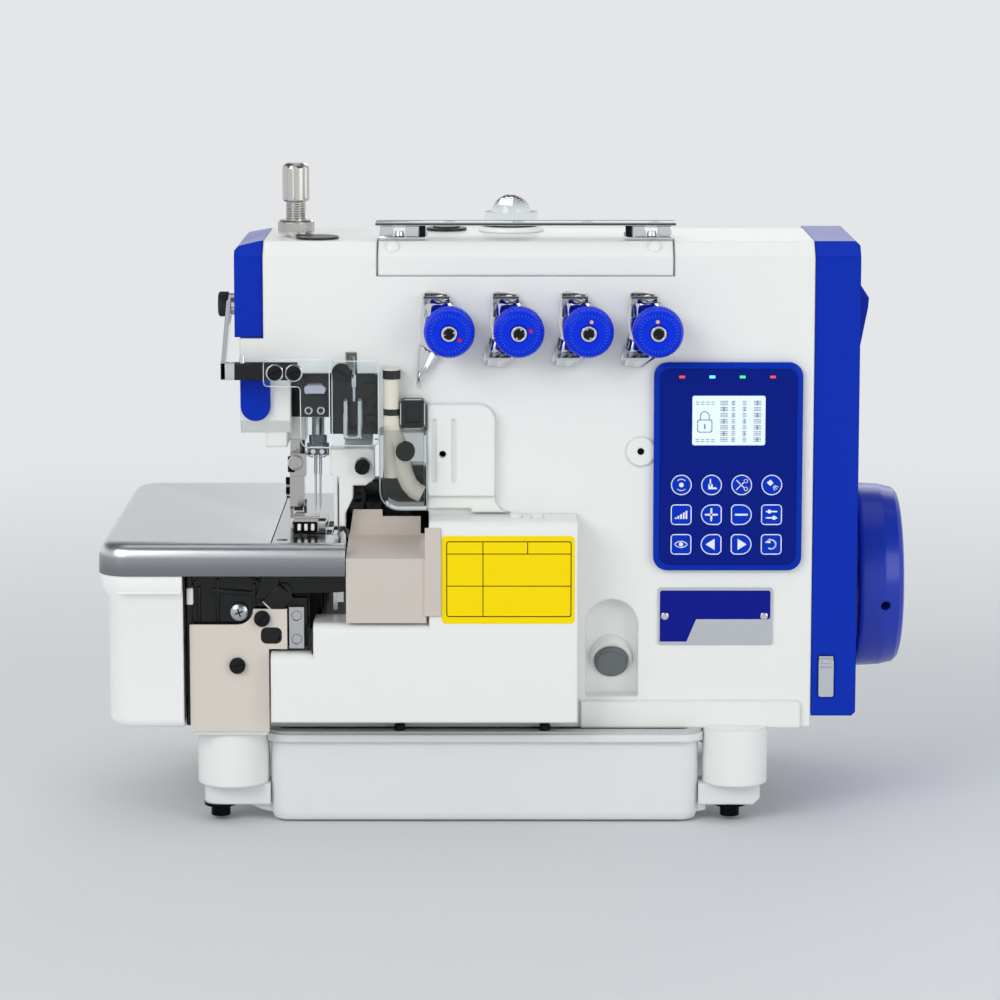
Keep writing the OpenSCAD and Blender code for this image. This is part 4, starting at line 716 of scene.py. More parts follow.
class OVERLOCK_OT_control_panel(bpy.types.Operator):
    """Print the keys, light the display and fit the four lamps"""

    bl_idname = "overlock.control_panel"
    bl_label = "Control panel"

    def execute(self, context):
        lo, hi = box_mm("keypad")
        width = context.scene.overlock_sizes.print_line / MM
        left, top, face = lo.x - PANEL_RIM, hi.z + PANEL_RIM, lo.y - 0.02
        shapes = []
        for index, sign in enumerate(KEY_SIGNS):
            row, col = divmod(index, 4)
            cx, cz = left + 14 + col * KEY_PITCH, top - 62 - row * KEY_PITCH
            outline = KEY_OUTLINES[col] if row else ROUND_KEY
            for share, points, *more in ((1, outline, True), *sign):
                spots = [(cx + x, cz + z) for x, z in points]
                if share:
                    shapes.append((line, spots, width * share, face, 0.06, bool(more)))
                else:
                    shapes.append((patch, spots, face - sum(more)))
        make("key_print", "white_ink", "keypad", *shapes)
        self.display(left, top, lo.y + 0.72)
        z = top - 7.1
        for i, finish in enumerate(("lamp_red", "lamp_cyan", "lamp_green", "lamp_red")):
            x = left + 14 + i * KEY_PITCH
            make(
                f"panel_lamp_{i + 1}", finish, "keypad",
                (block, (x - 1.45, lo.y - 0.12, z - 0.7), (x + 1.45, lo.y + 0.3, z + 0.7), 0.25),
            )
        return {"FINISHED"}

    def display(self, left, top, y):
        """The backlit pane with rows of small cells, a padlock and two rows of dashes."""
        x0, x1, z0, z1 = left + 19.2, left + 56.2, top - 42, top - 16.6
        pane = round_box(x0 + 0.1, z0 + 0.1, x1 - 0.1, z1 - 0.1, 1.1)
        make("display_pane", "display", "keypad", (patch, pane, y))
        y -= 0.05

        def cell(x, z, wide, high):
            return block, (x, y - 0.02, z), (x + wide, y + 0.02, z + high)

        marks = []
        for col in range(4):
            for row in range(7):
                x, z = x0 + 14.2 + col * 5.6, z1 - 2.6 - row * 3.1
                span = 1.9 if col in (1, 2) else 3.8
                marks += [cell(x, z - 0.5 - k * 0.85, span, 0.4) for k in range(3)]
                if (row + col) % 2:
                    marks.append(cell(x + span * 0.4, z - 2.3, span * 0.15, 2.3))
        cx, cz = x0 + 6.4, z0 + 10.4
        bow = arc(cx, cz + 4.6, 2.2, 180, 0, 8)
        marks += [
            (line, round_box(cx - 3.6, cz - 3.6, cx + 3.6, cz + 2.6, 1.0, 3), 0.5, y, 0.04, True),
            (line, [(cx - 2.2, cz + 2.6), (cx - 2.2, cz + 4.6), *bow, (cx + 2.2, cz + 2.6)],
             0.5, y, 0.04),
            (line, [(cx, cz + 0.2), (cx, cz - 1.6)], 0.8, y, 0.04),
        ]
        for base in (z0 + 3.4, z1 - 3.0):
            for k in range(4):
                marks += [cell(x0 + 1.8 + k * 2.6, base - drop, 1.8, 0.4) for drop in (1.6, 0.5)]
        make("display_marks", "grey_ink", "keypad", *marks)


class OVERLOCK_OT_plates(bpy.types.Operator):
    """Fit the bare plate under the panel and the plain yellow field on the front cover"""

    bl_idname = "overlock.plates"
    bl_label = "Plates and fields"

    def execute(self, context):
        lo, hi = box_mm("nameplate")
        y, split = lo.y + 0.65, lo.z + 13.2
        left, low = lo.x + 1.0, lo.z + 1.6
        make(
            "nameplate_fields", "navy_ink", "nameplate",
            (patch, round_box(left, split, hi.x - 1.2, hi.z - 1.4, 1.2), y),
            (patch, [(left, low), (lo.x + 14.6, low), (lo.x + 19.6, split + 0.4),
                     (left, split + 0.4)], y, 0.05),
        )
        rivet = [(0, 0), (2.0, 0), (1.9, 0.35), (1.3, 0.62), (0, 0.68)]
        make(
            "nameplate_rivets", "bright_chrome", "nameplate",
            *((turned, rivet, facing_front(x, lo.y + 0.7, (lo.z + hi.z) / 2 + 0.1), 24)
              for x in (lo.x + 3.5, hi.x - 4.4)),
        )
        face = box_mm("front_cover")[0].y
        make(
            "yellow_field", "yellow_ink", "front_cover",
            (patch, round_box(-32.2, 107.0, 34.4, 151.6, 2.4), face - 0.08, 0.16),
        )
        x0, x1, z0, z1, rule = -29.6, 32.5, 110.7, 148.7, 142.5
        rules = (
            [(x0, rule), (x1, rule)], [(x0, 126.2), (x1, 126.2)], [(-11.5, z0), (-11.5, z1)],
            [(10.8, rule), (10.8, z1)],
        )
        y = face - 0.17
        make(
            "field_lines", "black_ink", "front_cover",
            (line, round_box(x0, z0, x1, z1, 1.0, 3), 0.5, y, 0.04, True),
            *((line, points, 0.45, y, 0.04) for points in rules),
        )
        return {"FINISHED"}


class OVERLOCK_OT_tension_knobs(bpy.types.Operator):
    """Cut the teeth of the four thread tension knobs and set their marks"""

    bl_idname = "overlock.tension_knobs"
    bl_label = "Tension knobs"

    def execute(self, context):
        steps = context.scene.overlock_sizes.teeth * 2
        rows = zip(
            ("red_ink", "red_ink", "mark_orange", "mark_orange"), (-31, 14, 77, 95),
            (20, 65, 110, 40),
        )
        for i, (mark, spot, turn) in enumerate(rows, 1):
            name = f"tension_knob_{i}"
            lo, hi = box_mm(name)
            cx, cz, back, r = (lo.x + hi.x) / 2, (lo.z + hi.z) / 2, hi.y, (hi.x - lo.x) / 2
            bm = bmesh.new()
            # heights run from the machine outwards
            profile = ring(
                (3.2, 0.0), (r - 1.6, 0.0), (r - 0.4, 0.8), (r - 0.4, 8.6), (r - 1.0, 9.6),
                (r - 1.25, 10.4), (r - 1.25, 12.5), (r - 1.5, 13.3), (r - 2.1, 13.9),
                (r - 3.0, 14.2), (7.8, 14.4), (7.5, 14.15), (4.6, 14.15), (4.3, 13.8),
                (4.3, 12.0), (3.2, 12.0),
            )
            knurl(
                turned(bm, profile, Matrix.Identity(4), steps), steps,
                ((r - 0.6, 0.4), (r - 1.6, 0.25)),
            )
            place = facing_front(cx, back, cz)
            bmesh.ops.transform(bm, matrix=place, verts=bm.verts)
            # ring of short raised dashes round the face, in a lighter blue as painted highlight
            pips = [
                (line, [(cx + reach * math.cos(a), cz + reach * math.sin(a))
                        for reach in (8.4, 9.7)], 0.42, back - 14.35, 0.4)
                for a in (math.tau * k / 36 for k in range(36))
            ]
            make(f"knob_pips_{i}", "knob_pips", name, *pips)
            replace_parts(finish_piece(f"knurled_knob_{i}", bm, "knob_plastic", name), name)
            a = math.radians(spot)
            px, pz = cx + 6.1 * math.cos(a), cz + 6.1 * math.sin(a)
            make(
                f"knob_mark_{i}", mark, name,
                (rod, (px, back - 14.0, pz), (px, back - 14.5, pz), 0.95, 20),
            )
            # plated ring of the adjusting screw, black inside, with its slot
            rim = ring((2.9, 12.2), (4.1, 12.2), (4.1, 14.3), (3.8, 14.7), (3.1, 14.7), (2.9, 14.4))
            make(f"knob_ring_{i}", "bright_chrome", "tension_posts", (turned, rim, place, 36))
            make(
                f"knob_screw_{i}", "black_screw", "tension_posts",
                (slotted, cx, cz, back - 14.72, 2.8, 1.0, turn),
            )
        return {"FINISHED"}


class OVERLOCK_OT_moulded_parts(bpy.types.Operator):
    """Smooth the pressed cloth plate, the pan, the side box and the panel's frame"""

    bl_idname = "overlock.moulded_parts"
    bl_label = "Moulded parts"

    def execute(self, context):
        smooth_copy("cloth_plate", "pressed_cloth_plate", "brushed_plate")
        smooth_copy("oil_pan", "cast_oil_pan", "pan_paint")
        smooth_copy("side_cover", "moulded_side_box", "white_plastic", ease=self.draw_out)
        smooth_copy("control_panel", "moulded_panel_frame", "panel_plastic")
        # moulded lip round the box, below its wider top
        lo, hi = box_mm("side_cover")
        make(
            "side_box_lip", "white_plastic", "side_cover",
            *((rod, (-194.5, y, 122.6), (end, y, 122.6), 0.6, 16)
              for y, end in ((lo.y - 0.05, -162.4), (hi.y + 0.05, -176.0))),
        )
        # painted shade: black pieces in the gap between the box and the bed, and behind the side
        # plate's window
        make(
            "bed_gap_painted_shade", "black_enamel", "plate_bracket",
            (block, (-161.4, -88.5, 52.6), (-158.1, -84.0, 130.0), 0.4),
            (plate, round_box(-124.1, 95.4, -114.3, 104.4, 2.9), -90.5, -89.8),
        )
        return {"FINISHED"}

    @staticmethod
    def draw_out(co):
        """The box's outer end stands out a little further than its solid."""
        if co.z < 122:
            if co.y < 0:
                co.y *= 0.985
            if co.x < -182:
                co.x -= 2.2


class OVERLOCK_OT_guards(bpy.types.Operator):
    """Build the swing-up eye guard's lever and bar, and paint highlights along the clear guards'
    edges
    """

    bl_idname = "overlock.guards"
    bl_label = "Guards"

    def execute(self, context):
        px, py, pz = box_mm("guard_arm")[0].x, -40.0, 261.5
        low, top = 228.6, 237.4
        lever = [(px + 4.6, y, z) for y, z in (
            (py - 3.4, pz + 4.2), (py + 3.4, pz - 4.2), (-83.0, low), (-88.0, low),
            (-88.0, top + 0.2), (-83.0, top + 0.2))]
        # lever between round eyes, then the bar's bright end and its upright pin
        make(
            "guard_link", "bright_chrome", "guard_arm",
            (rod, (px + 4.4, py, pz), (px + 6.8, py, pz), 5.4, 32),
            (prism, lever, (2.2, 0, 0)),
            (block, (px + 4.4, -88.0, low), (px + 11.6, -85.0, top), 0.35),
            (rod, (-131.6, -86.5, top - 0.4), (-131.6, -86.5, top + 3.2), 1.7, 20, 1.3),
            (rod, (px + 5.4, py, pz), (px + 10.0, py, pz), 5.6, 32),
            replaces=True,
        )
        make(
            "guard_bar", "black_enamel", "guard_arm",
            (block, (px + 11.4, -88.15, low - 0.1), (-104.0, -84.9, top + 0.1), 0.5),
        )
        knob, steps = bmesh.new(), 72
        profile = [(0, 0), (6.0, 0), (6.2, 0.5), (6.2, 4.4), (5.6, 5.2), (2.4, 5.4), (2.2, 4.4),
                   (0, 4.4)]
        knurl(turned(knob, profile, Matrix.Identity(4), steps), steps, ((5.9, 0.2),))
        sideways = Matrix.Rotation(math.radians(-90), 4, "Y")
        sideways = Matrix.Translation((px + 5.4, py, pz)) @ sideways
        bmesh.ops.transform(knob, matrix=sideways, verts=knob.verts)
        finish_piece("guard_knob", knob, "black_plastic", "guard_arm")
        screws, z = (-115.2, -105.8), 232.6
        rim = ring((2.6, 0), (4.5, 0), (4.5, 0.7), (4.1, 1.0), (2.6, 1.0))
        make(
            "guard_screw_rings", "bright_chrome", "guard_arm",
            *((turned, rim, facing_front(x, -90.0, z), 36) for x in screws),
        )
        make(
            "guard_screws", "black_screw", "guard_arm",
            *((slotted, x, z, -93.0, 3.7, 2.2, 20) for x in screws),
        )
        # painted highlight: bright opaque lines along the clear guards' edges
        outline = [
            (-88.1, 238.9), *arc(-119, 236.9, 1.9, 90, 180, 4), *arc(-119, 227.6, 1.9, 180, 270, 4),
            *arc(-104.5, 223.6, 1.9, 90, 0, 4), *arc(-98.5, 198.7, 3.9, 180, 270, 5),
            (-88.1, 194.8),
        ]
        make(
            "eye_guard_rim_highlight", "acrylic_edge", "eye_guard", (line, outline, 0.4, -89.0, 2.04, True)
        )
        outline = [(-87.3, 236.9), (-87.3, 194.1), *arc(-67, 197, 2.9, 270, 360, 5), (-64.1, 236.9)]
        make(
            "finger_guard_rim_highlight", "acrylic_edge", "finger_guard",
            (line, outline, 0.4, -78.0, 2.04, True),
        )
        return {"FINISHED"}


class OVERLOCK_OT_needle_space(bpy.types.Operator):
    """Fill the space round the needles: shroud, eyelets, guide rods, clamps and toe cap"""

    bl_idname = "overlock.needle_space"
    bl_label = "Needle space"

    def execute(self, context):
        # plate on the hanging arm, shroud behind the knife arm, casting behind the bed
        casting = [(-83.0, 148.0), (-83.0, 158.0), (-79.0, 162.0), (-60.0, 162.0),
                   (-56.0, 170.0), (-40.2, 170.0), (-40.2, 148.0)]
        make(
            "dark_castings", "black_enamel", "machine_frame",
            (block, (-108.8, -60.4, 206.2), (-89.2, -59.9, 229.8), 0.1),
            (block, (-89.2, -60.4, 197.4), (-64.1, -57.6, 229.9), 0.4),
            *((block, (-72.0, -61.4, z), (-65.2, -60.2, z + 4.6), 0.4)
              for z in (203.0, 211.0, 219.0)),
            (block, (-85.0, 12.2, 124.5), (-40.0, 27.0, 150.0), 1.2),
            (plate, casting, 12.6, 25.0, 1.0),
            *((block, (x, 10.6, 126.0), (x + 2.0, 13.0, 158.0), 0.5)
              for x in (-76.0, -66.5, -50.0)),
        )
        rods = []
        for x in (-81.0, -73.8):
            rods += [
                (rod, (x, -68, 197), (x, -68, 215.4), 1.35, 20),
                (rod, (x, -68, 215.3), (x, -68, 216.9), 1.35, 20, 0.5),
                (rod, (x, -68, 213.5), (x, -60.2, 213.5), 1.0, 16),
            ]
        eyelet = ring((1.2, 0), (2.1, 0), (2.0, 0.35), (1.4, 0.45), (1.2, 0.3))
        make(
            "guide_rods", "bright_chrome", "thread_take_up", *rods,
            (rod, (-82.2, -68, 197), (-72.6, -68, 197), 1.1, 16),
            (rod, (-76.8, -66, 215), (-76.8, -66, 238), 0.9, 16),
            (block, (-78.0, -67.2, 222), (-75.6, -64.8, 229), 0.4),
            *((turned, eyelet, facing_front(x, -70.0, 210.8), 24) for x in (-99.6, -93.4)),
            replaces=True,
        )
        make(
            "eyelet_block", "black_enamel", "thread_take_up",
            (plate, round_box(-102.2, 207.5, -90.8, 219.4, 2.4), -70.0, -60.1, 0.5),
        )
        make(
            "eyelet_cap", "lilac_plastic", "thread_take_up",
            (plate, round_box(-101.8, 219.0, -91.2, 223.5, 1.4), -69.6, -60.1, 0.5),
        )

        # painted highlight: a bright line round the needle clamp's lower front, with two short
        # bright rods
        lo, hi = box_mm("needle_clamp")
        lip = round_box(lo.x + 0.6, lo.z + 1.0, hi.x - 0.6, lo.z + 6.4, 2.2)
        make(
            "clamp_highlight_line_and_rods", "bright_chrome", "needle_clamp",
            (line, lip, 0.55, lo.y - 0.15, 0.4, True),
            *((rod, (x, lo.y - 0.3, lo.z + 3.7), (x, lo.y + 0.4, lo.z + 3.7), 1.3, 20)
              for x in (lo.x + 3.4, hi.x - 3.4)),
        )

        # presser bar: clamp with its round pin and two small screws
        make(
            "presser_clamp", "black_oxide", "presser_bar",
            (block, (-111.6, -50.6, 176.0), (-107.9, -47.0, 184.2), 0.6),
            *((rod, (-113.0, -43.0, z), (-110.4, -43.0, z), 1.9, 16) for z in (170.6, 165.4)),
        )
        pin = [(0, 0), (3.9, 0), (3.9, 1.6), (3.5, 2.0), (3.1, 2.0), (2.9, 1.7), (0, 1.9)]
        make(
            "presser_pin", "bright_chrome", "presser_bar",
            (turned, pin, facing_front(-107.6, -50.2, 181.2), 36),
        )

        # knife arm's screw
        x, z = -72.5, 182.5
        rim = ring((2.4, 0), (4.6, 0), (4.6, 0.6), (4.2, 0.9), (2.4, 0.9))
        make(
            "knife_screw_ring", "bright_chrome", "upper_knife",
            (turned, rim, facing_front(x, -70.0, z), 36),
        )
        make(
            "knife_screw", "black_screw", "upper_knife",
            (slotted, x, z, -74.2, 3.85, 3.2, 60, 0.7),
        )

        # toe cap of the foot, and white patches in its three windows as painted light
        make(
            "toe_cap", "black_oxide", "presser_foot",
            (plate, round_box(-107.7, 148.4, -95.5, 153.8, 0.8, 3), -70.7, -69.6, 0.25),
        )
        make(
            "toe_windows_painted_light", "white_plastic", "presser_foot",
            *((plate, round_box(x, 149.4, x + 1.7, 152.9, 0.4, 3), -70.85, -70.4)
              for x in (-105.6, -102.2, -98.8)),
        )
        return {"FINISHED"}


class OVERLOCK_OT_suction(bpy.types.Operator):
    """Band the suction pipe, bend its lower end and paint a highlight along the chute's edge"""

    bl_idname = "overlock.suction"
    bl_label = "Thread-chain suction"

    def execute(self, context):
        lo, hi = box_mm("suction_pipe")
        x, y = lo.x + 4.4, lo.y + 4.4
        make(
            "pipe_bands", "black_plastic", "suction_pipe",
            (rod, (x, y, hi.z - 5.0), (x, y, hi.z - 0.6), 4.5, 32),
            (rod, (x, y, hi.z - 0.7), (x, y, hi.z - 0.05), 4.5, 32, 3.9),
            (rod, (x, y, 209.6), (x, y, 212.8), 4.25, 32),
        )
        way = [(at, y, z) for at, z in (
            (x, 206.0), (x + 0.6, 200.0), (-53.6, 194.0), (-52.4, 186.0), (-51.0, 179.5),
            (-48.8, 174.4), (-45.6, 170.9), (-42.4, 169.4))]
        make("pipe_bend", "cream_plastic", "suction_pipe", (tube, way, 4.4, 28))
        lo, hi = box_mm("suction_chute")
        right, low, top = hi.x - 0.3, lo.z + 0.3, hi.z - 0.3
        bend = arc(lo.x + 10, lo.z + 10, 9.7, 180, 270, 8)
        # painted highlight: a bright opaque line along the chute's edge
        make(
            "chute_rim_highlight", "acrylic_edge", "suction_chute",
            (line, [(lo.x + 0.3, top), *bend, (right, low), (right, top)], 0.6, lo.y + 0.25, 0.5),
        )
        # plated frame round the black nozzle block
        make(
            "nozzle_frame", "bright_chrome", "nozzle_block",
            (line, round_box(-52.9, 203.1, -40.9, 217.7, 1.6), 0.5, -79.9, 0.5, True),
        )
        return {"FINISHED"}


class OVERLOCK_OT_under_plate(bpy.types.Operator):
    """Add the ribs, lever and latch of the carrier under the cloth plate"""

    bl_idname = "overlock.under_plate"
    bl_label = "Under the plate"

    def execute(self, context):
        node = "plate_bracket"
        lever = [(-148.0, 120.6), (-128.0, 119.0), (-114.0, 110.2), (-114.0, 112.6),
                 (-127.4, 121.6), (-148.0, 123.0)]
        make(
            "carrier_ribs", "black_enamel", node,
            *((block, (x, -88.6, 105.0), (x + 1.8, -86.5, top), 0.5)
              for x, top in ((-155.5, 124.0), (-146.0, 128.0), (-127.5, 125.5), (-118.5, 116.0))),
            (plate, lever, -88.4, -86.6, 0.4),
        )
        square = [(-122.6, 117.0), (-115.0, 109.5), (-106.2, 118.3), (-113.8, 125.8)]
        make(
            "retaining_block", "black_enamel", node, (plate, square, -91.0, -87.2, 0.7),
            (rod, (-112.0, -89.4, 121.5), (-112.0, -86.8, 121.5), 4.6, 28),
        )
        make(
            "retaining_spring", "bright_chrome", node,
            (line, [(-121.9, 116.4), (-115.0, 109.8)], 0.8, -91.1, 0.3),
        )
        make(
            "plate_latch", "white_plastic", node,
            (block, (-160.6, -91.0, 115.0), (-157.2, -88.0, 123.6), 0.6),
        )
        return {"FINISHED"}


class OVERLOCK_OT_top(bpy.types.Operator):
    """Build the thread rail on its plated feet and seat the sight glass"""

    bl_idname = "overlock.top"
    bl_label = "Rail and sight glass"

    def execute(self, context):
        self.rail()
        self.regulator()
        # white seat and thin black seal under the sight glass
        lo, hi = box_mm("sight_glass")
        place = Matrix.Translation(((lo.x + hi.x) / 2, (lo.y + hi.y) / 2, ARM_TOP))
        seat = ring(
            (14.0, 0.05), (17.0, 0.05), (16.6, 1.8), (15.75, 2.9), (15.7, 0.6), (14.0, 0.6)
        )
        seal = ring((11.2, 3.02), (13.9, 3.02), (13.9, 3.55), (11.2, 3.55))
        make("glass_seat", "white_plastic", "sight_glass", (turned, seat, place, 64))
        make("glass_seal", "black_plastic", "sight_glass", (turned, seal, place, 64))
        return {"FINISHED"}

    def rail(self):
        """A chrome rail painted dark as painted reflection, with painted highlights along its
        edges, feet, springs and four eyelets.
        """
        node, x0, x1, top = "thread_rail", -65.7, 85.4, box_mm("thread_rail")[1].z
        low, base = top - 0.9, ARM_TOP + 1.8
        section = ((-64.0, low), (-64.0, top - 0.1), (-63.8, top), (-46.0, top), (-46.0, low))
        make(
            "rail_plate", "dark_mirror", node,
            (prism, [(x0, y, z) for y, z in section], (x1 - x0, 0, 0)), replaces=True,
        )
        # painted highlight: thin bright rods along the rail's two long edges and across its ends
        bright = [
            (rod, (x0, y, z), (x1, y, z), 0.22, 12)
            for y, z in ((-64.0, top - 0.95), (-46.2, top - 0.05))
        ]
        bright += [
            (rod, (end, -63.4, low), (end, -46.4, top - 0.5), 0.45, 12)
            for end in (x0 + 0.3, x1 - 0.3)
        ]
        springs = []

        def foot_block(x, side, a, b, y0, y1, z0, z1, bevel=0.5):
            near, far = sorted((x + side * a, x + side * b))
            return block, (near, y0, z0), (far, y1, z1), bevel

        for end in ((x0 + 1.4, 1), (x1 - 1.4, -1)):
            x, side = end
            bolt, stud = x + side * 10.5, x + side * 22.6
            bright += [
                foot_block(*end, 0.0, 24.0, -61.0, -45.0, ARM_TOP, ARM_TOP + 2.0),
                foot_block(*end, 0.6, 7.4, -59.5, -47.0, base, top - 0.8),
                foot_block(*end, 13.6, 20.2, -60.4, -47.0, base, top - 0.8),
                foot_block(*end, 7.0, 14.0, -56.0, -47.0, top - 2.6, top - 0.8, 0.3),
                (rod, (bolt, -57.0, base), (bolt, -57.0, base + 2.6), 2.6, 24, 2.1),
                (rod, (stud, -53.0, base), (stud, -53.0, base + 1.8), 1.9, 20),
            ]
            springs.append(foot_block(*end, 20.4, 23.6, -57.0, -50.0, base + 0.1, low, 0.4))
        # four thread eyelets pressed into the rail, one above each tension unit
        eyelet = ring((1.5, 0), (3.2, 0), (3.0, 0.14), (1.7, 0.14))
        for i in range(4):
            lo, hi = box_mm(f"tension_knob_{i + 1}")
            place = Matrix.Translation(((lo.x + hi.x) / 2, -55.0, top))
            bright.append((turned, eyelet, place, 40))
        make("rail_feet", "bright_chrome", node, *bright)
        make("rail_springs", "black_screw", node, *springs)

    def regulator(self):
        """Fine thread of the pressure screw and the knurled flank of its nut."""
        lo, hi = box_mm("regulator_screw")
        cx, cy = (lo.x + hi.x) / 2, (lo.y + hi.y) / 2
        lo, hi = box_mm("regulator_nut")
        z = hi.z + 0.4
        profile = [(4.6, hi.z + 0.1)]
        while z < 313.4:
            profile += [(4.95, z), (5.28, z + 0.45), (4.95, z + 0.9)]
            z += 1.2
        make(
            "regulator_thread", "nickel", "regulator_screw",
            (turned, ring(*profile, (4.6, z)), Matrix.Translation((cx, cy, 0)), 48),
        )
        r = (hi.x - lo.x) / 2
        spots = ((cx + r * math.cos(a), cy + r * math.sin(a))
                 for a in (math.tau * k / 72 for k in range(72)))
        make(
            "nut_knurl", "nickel", "regulator_nut",
            *((rod, (x, y, lo.z + 1.2), (x, y, hi.z - 1.2), 0.32, 6) for x, y in spots),
        )


class OVERLOCK_OT_tension_straps(bpy.types.Operator):
    """Bow the bright thread straps that hold the tension units"""

    bl_idname = "overlock.tension_straps"
    bl_label = "Tension straps"

    def execute(self, context):
        straps = []
        for i in range(4):
            lo, hi = box_mm(f"tension_knob_{i + 1}")
            upper = ((-12.9, 5.5), (-12.9, 15.4), (4.4, 9.4), (-0.8, 17.6))
            lower = ((-17.4, -18.4), (-14.6, -4.6), (-6.6, -19.6), (0.4, -14.2))
            if i == 0:
                lower = ((-17.2, -30.0), (-15.4, -8.0), (-15.4, -25.0), (-4.5, -15.0))
            cx, cz = (lo.x + hi.x) / 2, (lo.z + hi.z) / 2
            straps += [(self.strap, cx, cz, corners) for corners in (upper, lower)]
        make("tension_straps", "bright_chrome", "tension_plates", *straps)
        return {"FINISHED"}

    def strap(self, bm, cx, cz, corners, steps=12):
        """A sheet between two edges, each given by two (x, z) ends, bowed twice forwards."""
        corners = [Vector(c) for c in corners]
        rows = []
        for i in range(steps + 1):
            t = i / steps
            # two bows, one behind the other, as a folded strap has
            bow = 0.5 + 2.6 * abs(math.sin(math.pi * t)) ** 0.8 + 0.9 * math.sin(3 * math.pi * t)
            row = []
            for u in (k / 4 for k in range(5)):
                x, z = corners[0].lerp(corners[1], u).lerp(corners[2].lerp(corners[3], u), t)
                y = -72.9 - bow - 0.8 * math.sin(math.pi * u)
                row.append(bm.verts.new((cx + x, y, cz + z)))
            rows.append(row)
        fresh = [bm.faces.new((a[k], a[k + 1], b[k + 1], b[k]))
                 for a, b in zip(rows, rows[1:]) for k in range(4)]
        grown = bmesh.ops.extrude_face_region(bm, geom=fresh)["geom"]
        back = [g for g in grown if isinstance(g, bmesh.types.BMVert)]
        bmesh.ops.translate(bm, vec=(0, 0.7, 0), verts=back)
        around = {f for row in (*rows, back) for v in row for f in v.link_faces}
        bmesh.ops.recalc_face_normals(bm, faces=list(around))


class OVERLOCK_OT_fasteners(bpy.types.Operator):
    """Fit the visible screws and washers of the covers, and paint shade into the two accessory
    holes
    """

    bl_idname = "overlock.fasteners"
    bl_label = "Fasteners"

    def execute(self, context):
        black = [
            (slotted, x, z, -94.0, 4.05, 2.2, turn, 0.7)
            for x, z, turn in ((-122.5, 108.4, 50), (-135.1, 84.3, 15))
        ]
        # screws on the ledge over the pan
        for x in (-54.0, 19.7):
            black += [
                (rod, (x, -78.0, 47.9), (x, -78.0, 50.6), 2.8, 24),
                (rod, (x, -78.0, 50.5), (x, -78.0, 51.4), 2.8, 24, 2.2),
            ]
        # cross-recessed screw of the carrier
        x, z = -134.2, 111.1
        for turn in (20, 110):
            c, s = 1.9 * math.cos(math.radians(turn)), 1.9 * math.sin(math.radians(turn))
            black.append((line, [(x - c, z - s), (x + c, z + s)], 0.7, -91.35, 0.3))
        make("black_screws", "black_screw", "cover_screws", *black)
        head = [(0, 0), (4.5, 0), (4.4, 0.7), (3.4, 1.5), (0, 1.9)]
        make(
            "carrier_screw", "zinc_steel", "cover_screws",
            (turned, head, facing_front(x, -89.55, z), 36),
        )
        # dome screws on the sloping front of the top cover
        dome = [(0, -0.5), (3.7, -0.5), (3.7, 0.5), (3.2, 1.2), (2.0, 1.8), (0, 2.0)]
        slope = Matrix.Rotation(math.radians(47.6), 4, "X")
        make(
            "cover_dome_screws", "white_enamel", "cover_screws",
            *((turned, dome, Matrix.Translation((x, -67.0, 293.3)) @ slope, 36)
              for x in (-57.0, 74.5)),
        )
        # painted shade: near-black discs at the bottoms of the two accessory holes
        make(
            "accessory_hole_painted_shade", "dark_void", "machine_frame",
            *((rod, (x, -72.6, z), (x, -70.0, z), 1.74, 24)
              for x, z in ((-31.9, 189.5), (68.0, 190.3))),
        )
        return {"FINISHED"}


# Camera: place, tilt below level, small turn, lens and the shift that lowers the frame
CAMERA_PLACE, CAMERA_TILT, CAMERA_TURN = (0.0, -1.8598, 0.4649), 0.1381, 0.0017
LENS_MM, SENSOR_MM, SHIFT = 129.0, 36.0, -0.1
# Soft boxes: place, height of the point they aim at, width, height and watts
SOFTBOXES = {
    "key_softbox": ((-1.5, -2.0, 1.5), 0.18, 1.6, 1.2, 26),
    "fill_softbox": ((1.9, -1.8, 0.9), 0.16, 1.5, 1.5, 15),
    "top_softbox": ((0.1, 0.2, 2.3), 0.2, 1.7, 1.7, 4.5),
    "rear_softbox": ((0.6, 2.2, 1.4), 0.2, 1.6, 1.2, 10),
}


